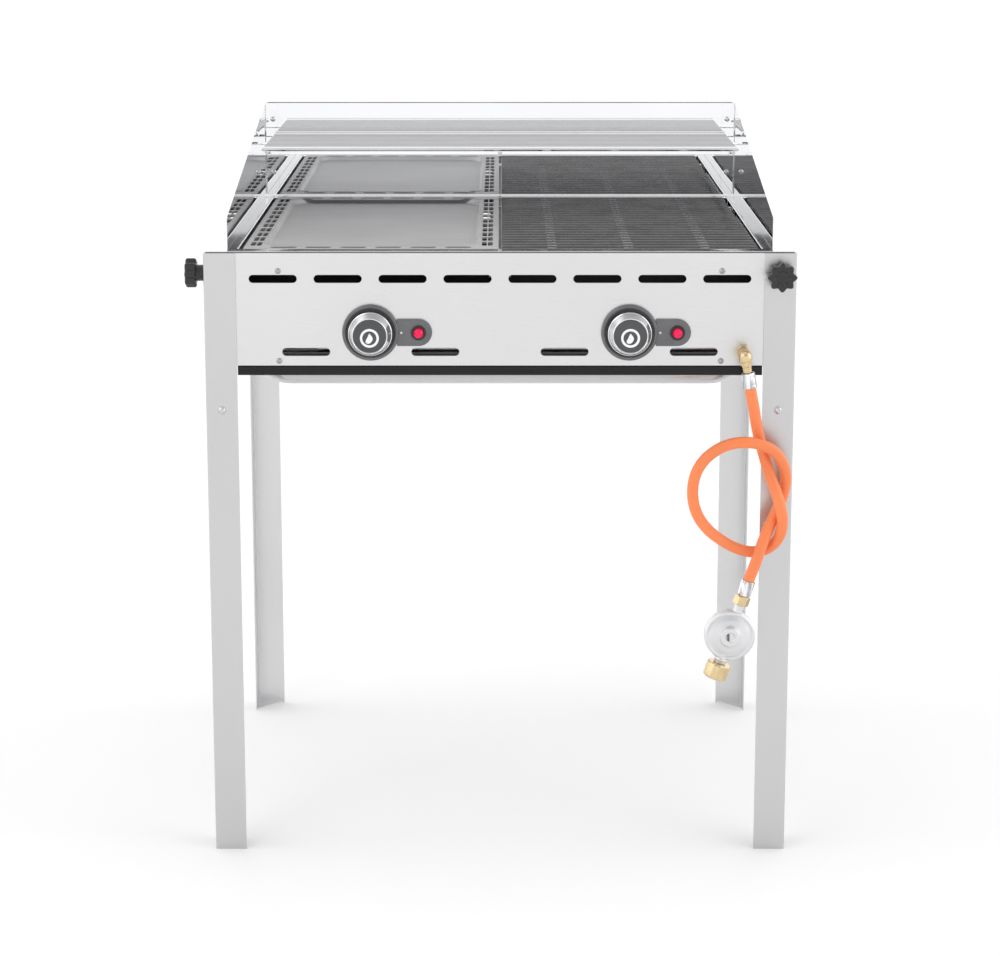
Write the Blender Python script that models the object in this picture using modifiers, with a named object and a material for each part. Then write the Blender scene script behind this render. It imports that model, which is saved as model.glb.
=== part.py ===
"""Free-standing two-burner gas barbecue on folding angle legs, with its hose and regulator."""
import math

import bmesh
import bpy
from mathutils import Matrix, Vector

# Driving dimensions, in metres. +Z is up and the controls face -Y.
WIDTH = 0.740            # across the outer faces of the legs
DEPTH = 0.612            # front face to rear face of the legs
DECK_TOP = 0.785
LEG_TOP = 0.7828
LEG_WIDTH = 0.040
LEG_SHEET = 0.0015
FOOT_THICK = 0.002
SHEET = 0.0012
GAP = 0.0003             # left between neighbours that touch
PANEL_BOTTOM = 0.6405
PANEL_TOP = 0.7832
STRIP_BOTTOM = 0.6280

STAR_REACH = 0.024       # star knob, out from the leg's face
ELBOW_REACH = 0.030      # gas elbow's axis, out from the legs' front face
ELBOW_RADIUS = 0.0085
SHIFT_Y = (ELBOW_REACH + ELBOW_RADIUS - STAR_REACH) / 2
FRONT = -DEPTH / 2 + SHIFT_Y
REAR = DEPTH / 2 + SHIFT_Y
HALF = WIDTH / 2
BODY_HALF = HALF - LEG_SHEET - GAP
BODY_FRONT = FRONT + LEG_SHEET + GAP
BODY_REAR = REAR - LEG_SHEET - GAP

PIVOT_HEIGHT = 0.5835
STAR_HEIGHT = 0.7555
PIVOT_X = HALF - LEG_WIDTH / 2
STUD_CLEAR = 0.0045      # holes that the star knobs' studs pass through in the panels

SLOT_PITCH = 0.081
SLOT_LENGTH = 0.060
SLOT_HEIGHT = 0.010
UPPER_SLOT_Z = 0.7505
LOWER_SLOT_Z = 0.658
CONTROL_X = 2 * SLOT_PITCH
CONTROL_Z = 0.683        # controls and burners
BUTTON_STEP = 0.060      # ignition button, right of its control knob
PANEL_SCREW_X = 0.277
PANEL_SCREW_Z = (0.6465, 0.7605)
REAR_PANEL_BOTTOM = 0.664

OPENING_HALF = 0.3285    # deck opening for the plates
OPENING_FRONT = FRONT + 0.025
OPENING_REAR = FRONT + 0.564
LEDGE_Z = 0.7680
PLATE_INNER = 0.0015     # plates' inner edges from the middle
PLATE_OUTER = 0.3240
PLATE_FRONT = OPENING_FRONT + 0.0045
PLATE_REAR = OPENING_REAR - 0.0045
PLATE_TOP = 0.7845

SHIELD_HALF = 0.3415     # outer faces of the windshield's sides
SHIELD_SHEET = 0.001
SHIELD_BACK = FRONT + 0.577
SHIELD_FRONT = FRONT + 0.016
SHIELD_TOP = DECK_TOP + 0.1355
SHIELD_NOSE = DECK_TOP + 0.041

RACK_Z = 0.8745
RACK_HALF = 0.3275
RACK_DEPTH = 0.200
RACK_REAR = SHIELD_BACK - 0.012
RACK_CROSS = 0.0030
RACK_WIRE = 0.0020
RACK_FRAME = 0.0030
RACK_WIRES = 12
RACK_UNDER = RACK_Z - 2 * RACK_CROSS - RACK_WIRE + 0.0008

LINER_FRONT = BODY_FRONT + 0.100     # enamelled walls inside the body
LINER_REAR = BODY_REAR - 0.032
LINER_HALF = 0.345
LINER_BOTTOM = 0.6723
LINER_TOP = LEDGE_Z - 0.026
LINER_TUBE_HOLE = 0.0125

TRAY_RIM_Z = 0.6500
TRAY_BOTTOM = 0.6060
TRAY_GRIP_HALF = 0.150
TRAY_GRIP_REACH = 0.012
TRAY_GRIP_DROP = 0.016

MANIFOLD_LEFT = -CONTROL_X - 0.068
MANIFOLD_RADIUS = 0.007
MANIFOLD_Z = 0.661
MANIFOLD_Y = BODY_FRONT + 0.030
ELBOW = Vector((0.3045, FRONT - ELBOW_REACH, 0.6590))
ELBOW_AIM = Vector((0.17, 0.0, -0.985)).normalized()
HOSE_RADIUS = 0.00725
FERRULE_LENGTH = 0.019
TOP_FERRULE = 0.0222     # along the elbow's barrel
HOSE_GRIP = 0.014        # hose held inside each ferrule
REGULATOR = Vector((0.2907, FRONT - 0.036, 0.301))
REGULATOR_AIM = Vector((-0.309, 0.0, -0.951)).normalized()
LOWER_FERRULE = -0.0740  # along the regulator's axis

# Hose route between its ferrules: x, distance in front of the legs, z.
HOSE_ROUTE = [
    (0.3168, 0.0285, 0.592), (0.322, 0.025, 0.564), (0.3295, 0.024, 0.536),
    (0.3375, 0.032, 0.509), (0.3455, 0.041, 0.487), (0.3515, 0.045, 0.467),
    (0.354, 0.042, 0.446), (0.350, 0.036, 0.427), (0.338, 0.028, 0.412),
    (0.319, 0.024, 0.406), (0.299, 0.026, 0.411), (0.280, 0.030, 0.422),
    (0.261, 0.034, 0.438), (0.247, 0.038, 0.459), (0.241, 0.041, 0.484),
    (0.244, 0.043, 0.510), (0.256, 0.045, 0.531), (0.276, 0.046, 0.546),
    (0.298, 0.046, 0.552), (0.321, 0.044, 0.550), (0.341, 0.038, 0.540),
    (0.354, 0.030, 0.522), (0.359, 0.025, 0.500), (0.355, 0.024, 0.477),
    (0.346, 0.029, 0.456), (0.336, 0.037, 0.437), (0.328, 0.043, 0.418),
    (0.3215, 0.041, 0.396),
]

for old in list(bpy.data.objects):
    bpy.data.objects.remove(old, do_unlink=True)

PARTS = bpy.data.collections.new("gas_barbecue")
CUTTERS = bpy.data.collections.new("cutters")
bpy.context.scene.collection.children.link(PARTS)
bpy.context.scene.collection.children.link(CUTTERS)

COLOURS = {
    "stainless": ((0.78, 0.78, 0.78), 0.30, 1.0),
    "polished": ((0.86, 0.87, 0.88), 0.06, 1.0),
    "dark_strip": ((0.05, 0.05, 0.05), 0.20, 0.8),
    "iron": ((0.30, 0.30, 0.30), 0.55, 0.6),
    "grate_steel": ((0.22, 0.22, 0.22), 0.45, 0.7),
    "chrome": ((0.88, 0.88, 0.90), 0.08, 1.0),
    "zinc": ((0.70, 0.71, 0.73), 0.35, 1.0),
    "brass": ((0.80, 0.66, 0.38), 0.30, 1.0),
    "aluminium": ((0.85, 0.85, 0.86), 0.35, 1.0),
    "black_plastic": ((0.02, 0.02, 0.02), 0.45, 0.0),
    "grey_plastic": ((0.11, 0.115, 0.12), 0.50, 0.0),
    "knob_grey": ((0.25, 0.26, 0.27), 0.40, 0.0),
    "red_plastic": ((0.75, 0.02, 0.08), 0.25, 0.0),
    "hose_rubber": ((0.90, 0.28, 0.10), 0.50, 0.0),
    "regulator_grey": ((0.72, 0.72, 0.72), 0.35, 0.6),
}


def material(name):
    """One Principled material for each finish."""
    found = bpy.data.materials.get(name)
    if found:
        return found
    colour, roughness, metallic = COLOURS[name]
    made = bpy.data.materials.new(name)
    made.use_nodes = True
    shader = made.node_tree.nodes["Principled BSDF"]
    shader.inputs["Base Color"].default_value = (*colour, 1.0)
    shader.inputs["Roughness"].default_value = roughness
    shader.inputs["Metallic"].default_value = metallic
    made.diffuse_color = (*colour, 1.0)
    return made


def part(name, mesh, finish):
    """A named sub-part of the barbecue."""
    made = bpy.data.objects.new(name, mesh)
    PARTS.objects.link(made)
    mesh.materials.clear()
    mesh.materials.append(material(finish))
    return made


def helper(mesh):
    """A cutter, or a shape to be joined to a part."""
    made = bpy.data.objects.new("cutter", mesh)
    CUTTERS.objects.link(made)
    made.hide_render = True
    made.display_type = "WIRE"
    return made


def mesh_from(bm):
    """Finish a bmesh as a closed mesh with its faces pointing out."""
    bmesh.ops.recalc_face_normals(bm, faces=bm.faces)
    mesh = bpy.data.meshes.new("shape")
    bm.to_mesh(mesh)
    bm.free()
    return mesh


def boxes(spans):
    """One mesh of boxes, each given by its lowest and highest corners."""
    bm = bmesh.new()
    for low, high in spans:
        low = Vector(low)
        high = Vector(high)
        place = Matrix.Translation((low + high) / 2)
        size = Matrix.Diagonal((*(high - low), 1.0))
        bmesh.ops.create_cube(bm, size=1.0, matrix=place @ size)
    return mesh_from(bm)


def aim(start, direction):
    """Matrix that puts a shape's +Z along a direction from a start point."""
    turn = Vector((0, 0, 1)).rotation_difference(Vector(direction)).to_matrix().to_4x4()
    return Matrix.Translation(Vector(start)) @ turn


def rods(spans, segments=16):
    """One mesh of round bars, each given by start, end, start radius and end radius."""
    bm = bmesh.new()
    for start, end, first, last in spans:
        start = Vector(start)
        run = Vector(end) - start
        place = aim(start + run / 2, run)
        bmesh.ops.create_cone(bm, cap_ends=True, segments=segments, radius1=first, radius2=last,
                              depth=run.length, matrix=place)
    return mesh_from(bm)


def bars(spans, radius, segments=16):
    """Round bars of one radius, each given by its two ends."""
    return rods([(start, end, radius, radius) for start, end in spans], segments)


def extruded(outline, to_space, thickness):
    """A flat outline (u, v) made into a plate; to_space turns u, v, w into a place."""
    bm = bmesh.new()
    corners = [bm.verts.new((u, v, 0.0)) for u, v in outline]
    face = bm.faces.new(corners)
    grown = bmesh.ops.extrude_face_region(bm, geom=[face])
    moved = [item for item in grown["geom"] if isinstance(item, bmesh.types.BMVert)]
    bmesh.ops.translate(bm, verts=moved, vec=(0, 0, thickness))
    for vert in bm.verts:
        vert.co = Vector(to_space(*vert.co))
    return mesh_from(bm)


def arc(centre, radius, first, last, steps):
    """Points of an arc, angles in degrees."""
    points = []
    for step in range(steps + 1):
        angle = math.radians(first + (last - first) * step / steps)
        points.append((centre[0] + radius * math.cos(angle), centre[1] + radius * math.sin(angle)))
    return points


def stadium(centre, length, height, steps=3):
    """Outline of a slot with round ends, lying along u."""
    radius = height / 2
    reach = length / 2 - radius
    right = arc((centre[0] + reach, centre[1]), radius, -90, 90, steps)
    left = arc((centre[0] - reach, centre[1]), radius, 90, 270, steps)
    return right + left


def rounded_rectangle(low, high, radius, steps=4):
    """Outline of a rectangle with round corners."""
    (u0, v0), (u1, v1) = low, high
    outline = []
    corners = (((u1, v0), -90), ((u1, v1), 0), ((u0, v1), 90), ((u0, v0), 180))
    for (u, v), first in corners:
        centre = (u - radius if u == u1 else u + radius, v - radius if v == v1 else v + radius)
        outline += arc(centre, radius, first, first + 90, steps)
    return outline


def section(points, thickness):
    """Closed outline of a bent sheet: the fold line and its copy one thickness to the left."""
    side = []
    for index, point in enumerate(points):
        here = Vector(point)
        before = (here - Vector(points[index - 1])).normalized() if index else None
        after = (Vector(points[index + 1]) - here).normalized() if index < len(points) - 1 else None
        before = before or after
        after = after or before
        normal = Vector((-before.y - after.y, before.x + after.x)).normalized()
        stretch = thickness / normal.dot(Vector((-after.y, after.x)))
        side.append(here + normal * stretch)
    return [tuple(point) for point in points] + [tuple(point) for point in reversed(side)]


def loft(rings, thickness, closed_floor):
    """A pressed sheet: equal rings of points joined in order, thickened to the inside."""
    bm = bmesh.new()
    loop = [bm.verts.new(point) for point in rings[0]]
    edges = [bm.edges.new((loop[i], loop[(i + 1) % len(loop)])) for i in range(len(loop))]
    for ring in rings[1:]:
        grown = bmesh.ops.extrude_edge_only(bm, edges=edges)["geom"]
        edges = [item for item in grown if isinstance(item, bmesh.types.BMEdge)]
        fresh = [item for item in grown if isinstance(item, bmesh.types.BMVert)]
        pairs = {}
        for edge in bm.edges:
            ends = edge.verts
            for one, other in ((ends[0], ends[1]), (ends[1], ends[0])):
                if one in fresh and other in loop:
                    pairs[other] = one
        loop = [pairs[vert] for vert in loop]
        for vert, point in zip(loop, ring):
            vert.co = Vector(point)
    if closed_floor:
        bm.faces.new(loop)
    bmesh.ops.recalc_face_normals(bm, faces=bm.faces)
    mesh = bpy.data.meshes.new("shape")
    bm.to_mesh(mesh)
    bm.free()
    shell = helper(mesh)
    solid = shell.modifiers.new("sheet", "SOLIDIFY")
    solid.thickness = thickness
    solid.offset = -1.0
    solid.use_even_offset = True
    return settled(shell)


def settled(obj):
    """The evaluated mesh of an object, which is then removed."""
    seen = obj.evaluated_get(bpy.context.evaluated_depsgraph_get())
    mesh = bpy.data.meshes.new_from_object(seen)
    mesh.transform(obj.matrix_world)
    bpy.data.objects.remove(obj, do_unlink=True)
    bm = bmesh.new()
    bm.from_mesh(mesh)
    bmesh.ops.remove_doubles(bm, verts=bm.verts, dist=0.00002)
    bm.to_mesh(mesh)
    bm.free()
    return mesh


def turned(profile, start, direction, steps=24):
    """A turned solid; profile is (radius, height) from the top of its outside to the bottom."""
    bm = bmesh.new()
    points = [bm.verts.new((radius, 0.0, height)) for radius, height in profile]
    for first, second in zip(points, points[1:]):
        bm.edges.new((first, second))
    if profile[0][0] > 0:
        bm.edges.new((points[-1], points[0]))
    mesh = bpy.data.meshes.new("profile")
    bm.to_mesh(mesh)
    bm.free()
    lathe = helper(mesh)
    screw = lathe.modifiers.new("turn", "SCREW")
    screw.steps = steps
    screw.render_steps = steps
    screw.use_merge_vertices = True
    screw.merge_threshold = 0.00001
    screw.use_normal_calculate = True
    mesh = settled(lathe)
    mesh.transform(aim(start, direction))
    bm = bmesh.new()
    bm.from_mesh(mesh)
    return mesh_from(bm)


def pipe(points, radius, cyclic=False, resolution=2):
    """A round tube along a line of points."""
    curve = bpy.data.curves.new("pipe", "CURVE")
    curve.dimensions = "3D"
    curve.bevel_depth = radius
    curve.bevel_resolution = resolution
    curve.use_fill_caps = not cyclic
    line = curve.splines.new("POLY")
    line.points.add(len(points) - 1)
    for spot, point in zip(line.points, points):
        spot.co = (*point, 1.0)
    line.use_cyclic_u = cyclic
    made = bpy.data.objects.new("pipe", curve)
    CUTTERS.objects.link(made)
    bm = bmesh.new()
    bm.from_mesh(settled(made))
    return mesh_from(bm)


def boolean(target, mesh, operation):
    """Cut a shape from a part, or join it on."""
    tool = helper(mesh)
    step = target.modifiers.new(operation.lower(), "BOOLEAN")
    step.operation = operation
    step.solver = "EXACT"
    step.object = tool


def cut(target, mesh):
    boolean(target, mesh, "DIFFERENCE")


def join(target, mesh):
    boolean(target, mesh, "UNION")


def hang(names, point):
    """Parent pieces that move together to an empty on their joint's axis."""
    pivot = bpy.data.objects.new("axis_" + names[0], None)
    pivot.location = point
    PARTS.objects.link(pivot)
    for name in names:
        piece = PARTS.objects[name]
        piece.parent = pivot
        piece.matrix_parent_inverse = Matrix.Translation(-Vector(point))


def on_front(y):
    """Outline in X and Z, growing towards +Y from y."""
    return lambda u, v, w: (u, y + w, v)


def on_side(x):
    """Outline in Y and Z, growing towards +X from x."""
    return lambda u, v, w: (x + w, u, v)


def on_plan(z):
    """Outline in X and Y, growing upwards from z."""
    return lambda u, v, w: (u, v, z + w)


def smooth_line(points, step):
    """Evenly spaced points on a Catmull-Rom curve through the given ones."""
    ends = [points[0] * 2 - points[1]] + points + [points[-1] * 2 - points[-2]]
    fine = []
    for index in range(1, len(ends) - 2):
        a, b, c, d = ends[index - 1:index + 3]
        for part_of in range(16):
            t = part_of / 16
            fine.append(0.5 * (2 * b + (c - a) * t + (2 * a - 5 * b + 4 * c - d) * t * t
                               + (3 * b - a - 3 * c + d) * t ** 3))
    fine.append(points[-1])
    total = sum((second - first).length for first, second in zip(fine, fine[1:]))
    count = round(total / step)
    wanted = total / count
    spaced = [fine[0]]
    walked = 0.0
    for first, second in zip(fine, fine[1:]):
        length = (second - first).length
        while walked + length >= wanted and len(spaced) < count:
            share = (wanted - walked) / length
            first = first.lerp(second, share)
            spaced.append(first.copy())
            length = (second - first).length
            walked = 0.0
        walked += length
    spaced.append(fine[-1])
    return spaced


# ---------------------------------------------------------------- body

def slot_row(z, count, pitch, y, depth):
    """Cutter for a row of round-ended air slots."""
    bm = bmesh.new()
    for index in range(count):
        x = (index - (count - 1) / 2) * pitch
        mesh = extruded(stadium((x, z), SLOT_LENGTH, SLOT_HEIGHT), on_front(y), depth)
        bm.from_mesh(mesh)
        bpy.data.meshes.remove(mesh)
    return mesh_from(bm)


def make_front_panel():
    """Front sheet with its air slots and the holes for everything that goes through it."""
    low = (-BODY_HALF, BODY_FRONT, PANEL_BOTTOM)
    high = (BODY_HALF, BODY_FRONT + SHEET, PANEL_TOP)
    panel = part("front_panel", boxes([(low, high)]), "stainless")
    start = BODY_FRONT - 0.01
    cut(panel, slot_row(UPPER_SLOT_Z, 8, SLOT_PITCH, start, 0.03))
    cut(panel, slot_row(LOWER_SLOT_Z, 4, 2 * SLOT_PITCH, start, 0.03))
    holes = []
    for side in (-1, 1):
        holes.append(((side * CONTROL_X, CONTROL_Z), 0.0090))
        holes.append(((side * CONTROL_X + BUTTON_STEP, CONTROL_Z), 0.0083))
        for z in PANEL_SCREW_Z:
            holes.append(((side * PANEL_SCREW_X, z), 0.0020))
    holes.append(((ELBOW.x, ELBOW.z), 0.0070))
    holes.append(((PIVOT_X, STAR_HEIGHT), STUD_CLEAR))
    spans = [((x, start, z), (x, start + 0.03, z), radius, radius) for (x, z), radius in holes]
    cut(panel, rods(spans, 16))


def make_rear_panel():
    """Rear sheet, open below for the drip tray."""
    low = (-BODY_HALF, BODY_REAR - SHEET, REAR_PANEL_BOTTOM)
    panel = part("rear_panel", boxes([(low, (BODY_HALF, BODY_REAR, PANEL_TOP))]), "stainless")
    y = BODY_REAR - 0.02
    cut(panel, slot_row(UPPER_SLOT_Z, 8, SLOT_PITCH, y, 0.03))
    cut(panel, bars([((-PIVOT_X, y, STAR_HEIGHT), (-PIVOT_X, y + 0.03, STAR_HEIGHT))], STUD_CLEAR))


def make_side_panels():
    y0 = BODY_FRONT + SHEET + GAP
    y1 = BODY_REAR - SHEET - GAP
    for side, name, y in ((-1, "side_panel_left", FRONT + LEG_WIDTH / 2),
                          (1, "side_panel_right", REAR - LEG_WIDTH / 2)):
        x = side * (BODY_HALF - SHEET / 2)
        low = (x - SHEET / 2, y0, PANEL_BOTTOM)
        panel = part(name, boxes([(low, (x + SHEET / 2, y1, PANEL_TOP))]), "stainless")
        cut(panel, bars([((x - 0.01, y, STAR_HEIGHT), (x + 0.01, y, STAR_HEIGHT))], STUD_CLEAR))


def ring(half_low, half_high, y0, y1, radius, z):
    """Rounded rectangle ring at one height."""
    outline = rounded_rectangle((half_low, y0), (half_high, y1), radius, 3)
    return [(u, v, z) for u, v in outline]


def make_deck_frame():
    top = DECK_TOP
    rings = [
        ring(-BODY_HALF, BODY_HALF, BODY_FRONT, BODY_REAR, 0.0015, top),
        ring(-OPENING_HALF - 0.001, OPENING_HALF + 0.001, OPENING_FRONT - 0.001,
             OPENING_REAR + 0.001, 0.009, top),
        ring(-OPENING_HALF, OPENING_HALF, OPENING_FRONT, OPENING_REAR, 0.008, top - 0.002),
        ring(-OPENING_HALF, OPENING_HALF, OPENING_FRONT, OPENING_REAR, 0.008, LEDGE_Z),
        ring(-OPENING_HALF + 0.016, OPENING_HALF - 0.016, OPENING_FRONT + 0.016,
             OPENING_REAR - 0.016, 0.004, LEDGE_Z),
    ]
    part("deck_frame", loft(rings, 0.0014, False), "stainless")


def make_centre_support():
    """Upside-down channel under the plates' inner edges."""
    y0 = OPENING_FRONT + 0.016 + GAP
    y1 = OPENING_REAR - 0.016 - GAP
    half = 0.014
    folds = [(-half, LEDGE_Z - 0.022), (-half, LEDGE_Z), (half, LEDGE_Z), (half, LEDGE_Z - 0.022)]
    outline = section(folds, -0.0015)
    mesh = extruded(outline, lambda u, v, w: (u, y0 + w, v), y1 - y0)
    part("centre_support", mesh, "stainless")


def make_firebox_liner():
    """Enamelled walls round the burners, open above and below."""
    rings = [ring(-LINER_HALF, LINER_HALF, LINER_FRONT, LINER_REAR, 0.004, z)
             for z in (LINER_BOTTOM, LINER_TOP)]
    liner = part("firebox_liner", loft(rings, SHEET, False), "dark_strip")
    through = Vector((0, 0.01, 0))
    lines = []
    for side in (-1, 1):
        hole = Vector((side * CONTROL_X, LINER_FRONT, CONTROL_Z))
        lines.append((hole - through, hole + through))
    cut(liner, bars(lines, LINER_TUBE_HOLE))


def make_lower_strip():
    half = HALF - LEG_WIDTH - 0.0008
    top = PANEL_BOTTOM - GAP
    y = BODY_FRONT
    folds = [(y + 0.016, STRIP_BOTTOM), (y, STRIP_BOTTOM), (y, top), (y + 0.010, top)]
    outline = section(folds, -SHEET)
    mesh = extruded(outline, lambda u, v, w: (w - half, u, v), 2 * half)
    part("lower_front_strip", mesh, "dark_strip")


def make_tray_runners():
    y0 = BODY_FRONT + 0.034
    y1 = BODY_REAR - 0.034
    outer = BODY_HALF - SHEET - GAP
    shelf = TRAY_RIM_Z - GAP
    folds = [(outer, STRIP_BOTTOM), (outer, shelf), (0.306, shelf)]
    outline = section(folds, SHEET)
    for side, name in ((-1, "tray_runner_left"), (1, "tray_runner_right")):
        mesh = extruded(outline, lambda u, v, w: (side * u, y0 + w, v), y1 - y0)
        part(name, mesh, "dark_strip")


def make_tray():
    """Pressed drip pan with a flat rim, and a folded grip at the back."""
    y0 = BODY_FRONT + 0.024
    y1 = BODY_REAR + 0.002
    levels = [
        (0.0, 0.318, 0.004, TRAY_RIM_Z + SHEET),
        (0.015, 0.303, 0.020, TRAY_RIM_Z + SHEET),
        (0.019, 0.299, 0.026, TRAY_BOTTOM + 0.014),
        (0.024, 0.294, 0.028, TRAY_BOTTOM + 0.005),
        (0.036, 0.282, 0.024, TRAY_BOTTOM),
    ]
    rings = [ring(-half, half, y0 + inset, y1 - inset, radius, z)
             for inset, half, radius, z in levels]
    tray = part("drip_tray", loft(rings, -SHEET, True), "stainless")
    middle = TRAY_RIM_Z + SHEET / 2
    grip = [(y1 - 0.004, middle), (y1 + TRAY_GRIP_REACH, middle),
            (y1 + TRAY_GRIP_REACH, TRAY_RIM_Z - TRAY_GRIP_DROP)]
    outline = section(grip, 0.001)
    join(tray, extruded(outline, lambda u, v, w: (w - TRAY_GRIP_HALF, u, v), 2 * TRAY_GRIP_HALF))


# ---------------------------------------------------------------- legs

def corner(side, end):
    """Outer corner of a leg: side is -1 left or 1 right, end is -1 front or 1 rear."""
    return side * HALF, FRONT if end < 0 else REAR


LEGS = {
    "front_left": (-1, -1), "front_right": (1, -1), "rear_left": (-1, 1), "rear_right": (1, 1),
}
STUD_HOLE = 0.0036
STUD_NOTCH = 0.0042      # half height of the open slot that a leg swings off its stud by
# Front right and rear left knobs clamp the front and rear flanges; the others clamp the sides.
FACE_KNOBS = ("front_right", "rear_left")


def knob_axis(name):
    """Foot of a star knob on the leg's face, and the direction that it points out."""
    side, end = LEGS[name]
    x, y = corner(side, end)
    if name in FACE_KNOBS:
        return Vector((side * PIVOT_X, y, STAR_HEIGHT)), Vector((0, end, 0))
    return Vector((x, y - end * LEG_WIDTH / 2, STAR_HEIGHT)), Vector((side, 0, 0))


def make_leg(name):
    side, end = LEGS[name]
    x, y = corner(side, end)
    inner = LEG_WIDTH - LEG_SHEET
    folds = [(x - side * LEG_WIDTH, y), (x, y), (x, y - end * LEG_WIDTH)]
    outline = section(folds, -side * end * LEG_SHEET)
    leg = part("leg_" + name, extruded(outline, on_plan(0.0), LEG_TOP), "stainless")
    foot = [(x - side * LEG_SHEET / 2, y - end * LEG_SHEET / 2),
            (x - side * (inner + 0.0005), y - end * LEG_SHEET / 2),
            (x - side * LEG_SHEET / 2, y - end * (inner + 0.0005))]
    join(leg, extruded(foot, on_plan(0.0), FOOT_THICK))
    through = Vector((0, end * 0.01, 0))
    pivot = Vector((side * PIVOT_X, y, PIVOT_HEIGHT))
    cut(leg, bars([(pivot - through, pivot + through)], 0.0032))
    place, out = knob_axis(name)
    stud = [(place - out * 0.01, place + out * 0.01)]
    if name in FACE_KNOBS:
        cut(leg, bars(stud, STUD_NOTCH))
        inside = place.x - side * 0.03
        low = (min(inside, place.x), y - 0.01, STAR_HEIGHT - STUD_NOTCH - 0.0008)
        high = (max(inside, place.x), y + 0.01, STAR_HEIGHT + STUD_NOTCH)
        cut(leg, boxes([(low, high)]))
    else:
        cut(leg, bars(stud, STUD_HOLE))
    hang(["leg_" + name], pivot)


BRACKET = 0.003
BRACKET_HALF = 0.0164
BRACKET_TOP = 0.722


def make_pivot_brackets():
    """Four angle brackets inside the body's corners."""
    for name, (side, end) in LEGS.items():
        face = BODY_FRONT + SHEET + GAP if end < 0 else BODY_REAR - SHEET - GAP
        start = face if end < 0 else face - BRACKET
        outline = arc((side * PIVOT_X, PIVOT_HEIGHT), BRACKET_HALF, 180, 360, 8)
        outline += [(side * PIVOT_X + BRACKET_HALF, BRACKET_TOP),
                    (side * PIVOT_X - BRACKET_HALF, BRACKET_TOP)]
        plate = part("pivot_bracket_" + name, extruded(outline, on_front(start), BRACKET), "zinc")
        outer = side * (PIVOT_X + BRACKET_HALF)
        inner = outer - side * BRACKET
        far = face - end * 0.026
        low = (min(outer, inner), min(face, far), 0.644)
        high = (max(outer, inner), max(face, far), BRACKET_TOP)
        join(plate, boxes([(low, high)]))
        hole = Vector((side * PIVOT_X, face - end * BRACKET / 2, PIVOT_HEIGHT))
        through = Vector((0, 0.01, 0))
        cut(plate, bars([(hole - through, hole + through)], 0.0030))


PIVOT_HEAD = 0.0050
PIVOT_HEAD_HEIGHT = 0.0026


def screw_shape(face, out, shank, length, nut):
    """Round-headed screw and its nut; face is on the leg and out points away from it."""
    nut_radius, nut_start, nut_height = nut
    height = PIVOT_HEAD_HEIGHT
    profile = [
        (0.0, 0.0), (PIVOT_HEAD * 0.62, -height * 0.12), (PIVOT_HEAD * 0.92, -height * 0.5),
        (PIVOT_HEAD, -height), (shank, -height), (shank, -height - nut_start),
        (nut_radius, -height - nut_start), (nut_radius, -height - nut_start - nut_height),
        (shank, -height - nut_start - nut_height), (shank, -height - length),
        (0.0, -height - length),
    ]
    return turned(profile, face + out * (GAP + height), out, 8)


def make_pivot_screws():
    for name, (side, end) in LEGS.items():
        _, y = corner(side, end)
        out = Vector((0, end, 0))
        stack = LEG_SHEET + GAP + SHEET + GAP + BRACKET + 2 * GAP
        spot = Vector((side * PIVOT_X, y, PIVOT_HEIGHT))
        shape = screw_shape(spot, out, 0.0026, stack + 0.007, (0.0050, stack + 0.0002, 0.004))
        part("pivot_screw_" + name, shape, "zinc")


def star_outline():
    """Eight shallow lobes."""
    points = []
    for step in range(32):
        angle = 2 * math.pi * step / 32
        radius = 0.0166 + 0.0019 * math.cos(8 * angle)
        points.append((radius * math.cos(angle), radius * math.sin(angle)))
    return points


HUB_HEIGHT = 0.0103
STUD_INSIDE = 0.013


def make_star_knobs():
    for name in LEGS:
        place, out = knob_axis(name)
        frame = aim(place, out)
        head = extruded(star_outline(), on_plan(HUB_HEIGHT), STAR_REACH - HUB_HEIGHT)
        knob = part("star_knob_" + name, head, "black_plastic")
        join(knob, bars([((0, 0, GAP), (0, 0, HUB_HEIGHT + 0.002))], 0.0108))
        join(knob, bars([((0, 0, -STUD_INSIDE), (0, 0, HUB_HEIGHT))], 0.0030))
        for tool in knob.modifiers:
            tool.object.matrix_world = frame
        knob.matrix_world = frame


# ---------------------------------------------------------------- plates

def plate_rings(x0, x1, levels):
    """Rings of a plate, each level an inset, a corner radius and a height."""
    rings = []
    for inset, radius, z in levels:
        outline = rounded_rectangle((x0 + inset, PLATE_FRONT + inset),
                                    (x1 - inset, PLATE_REAR - inset), radius, 4)
        rings.append([(u, v, z) for u, v in outline])
    return rings


def make_griddle():
    """Plate with a sunk cooking surface inside flat margins."""
    x0 = -PLATE_OUTER
    x1 = -PLATE_INNER
    levels = [
        (0.0000, 0.010, LEDGE_Z + GAP), (0.0000, 0.010, PLATE_TOP - 0.0015),
        (0.0015, 0.009, PLATE_TOP), (0.0270, 0.030, PLATE_TOP),
        (0.0300, 0.030, PLATE_TOP - 0.0055),
    ]
    part("griddle_plate", loft(plate_rings(x0, x1, levels), 0.0040, True), "iron")


GRATE_RODS = 23
GRATE_ROD_RADIUS = 0.0030


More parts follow.
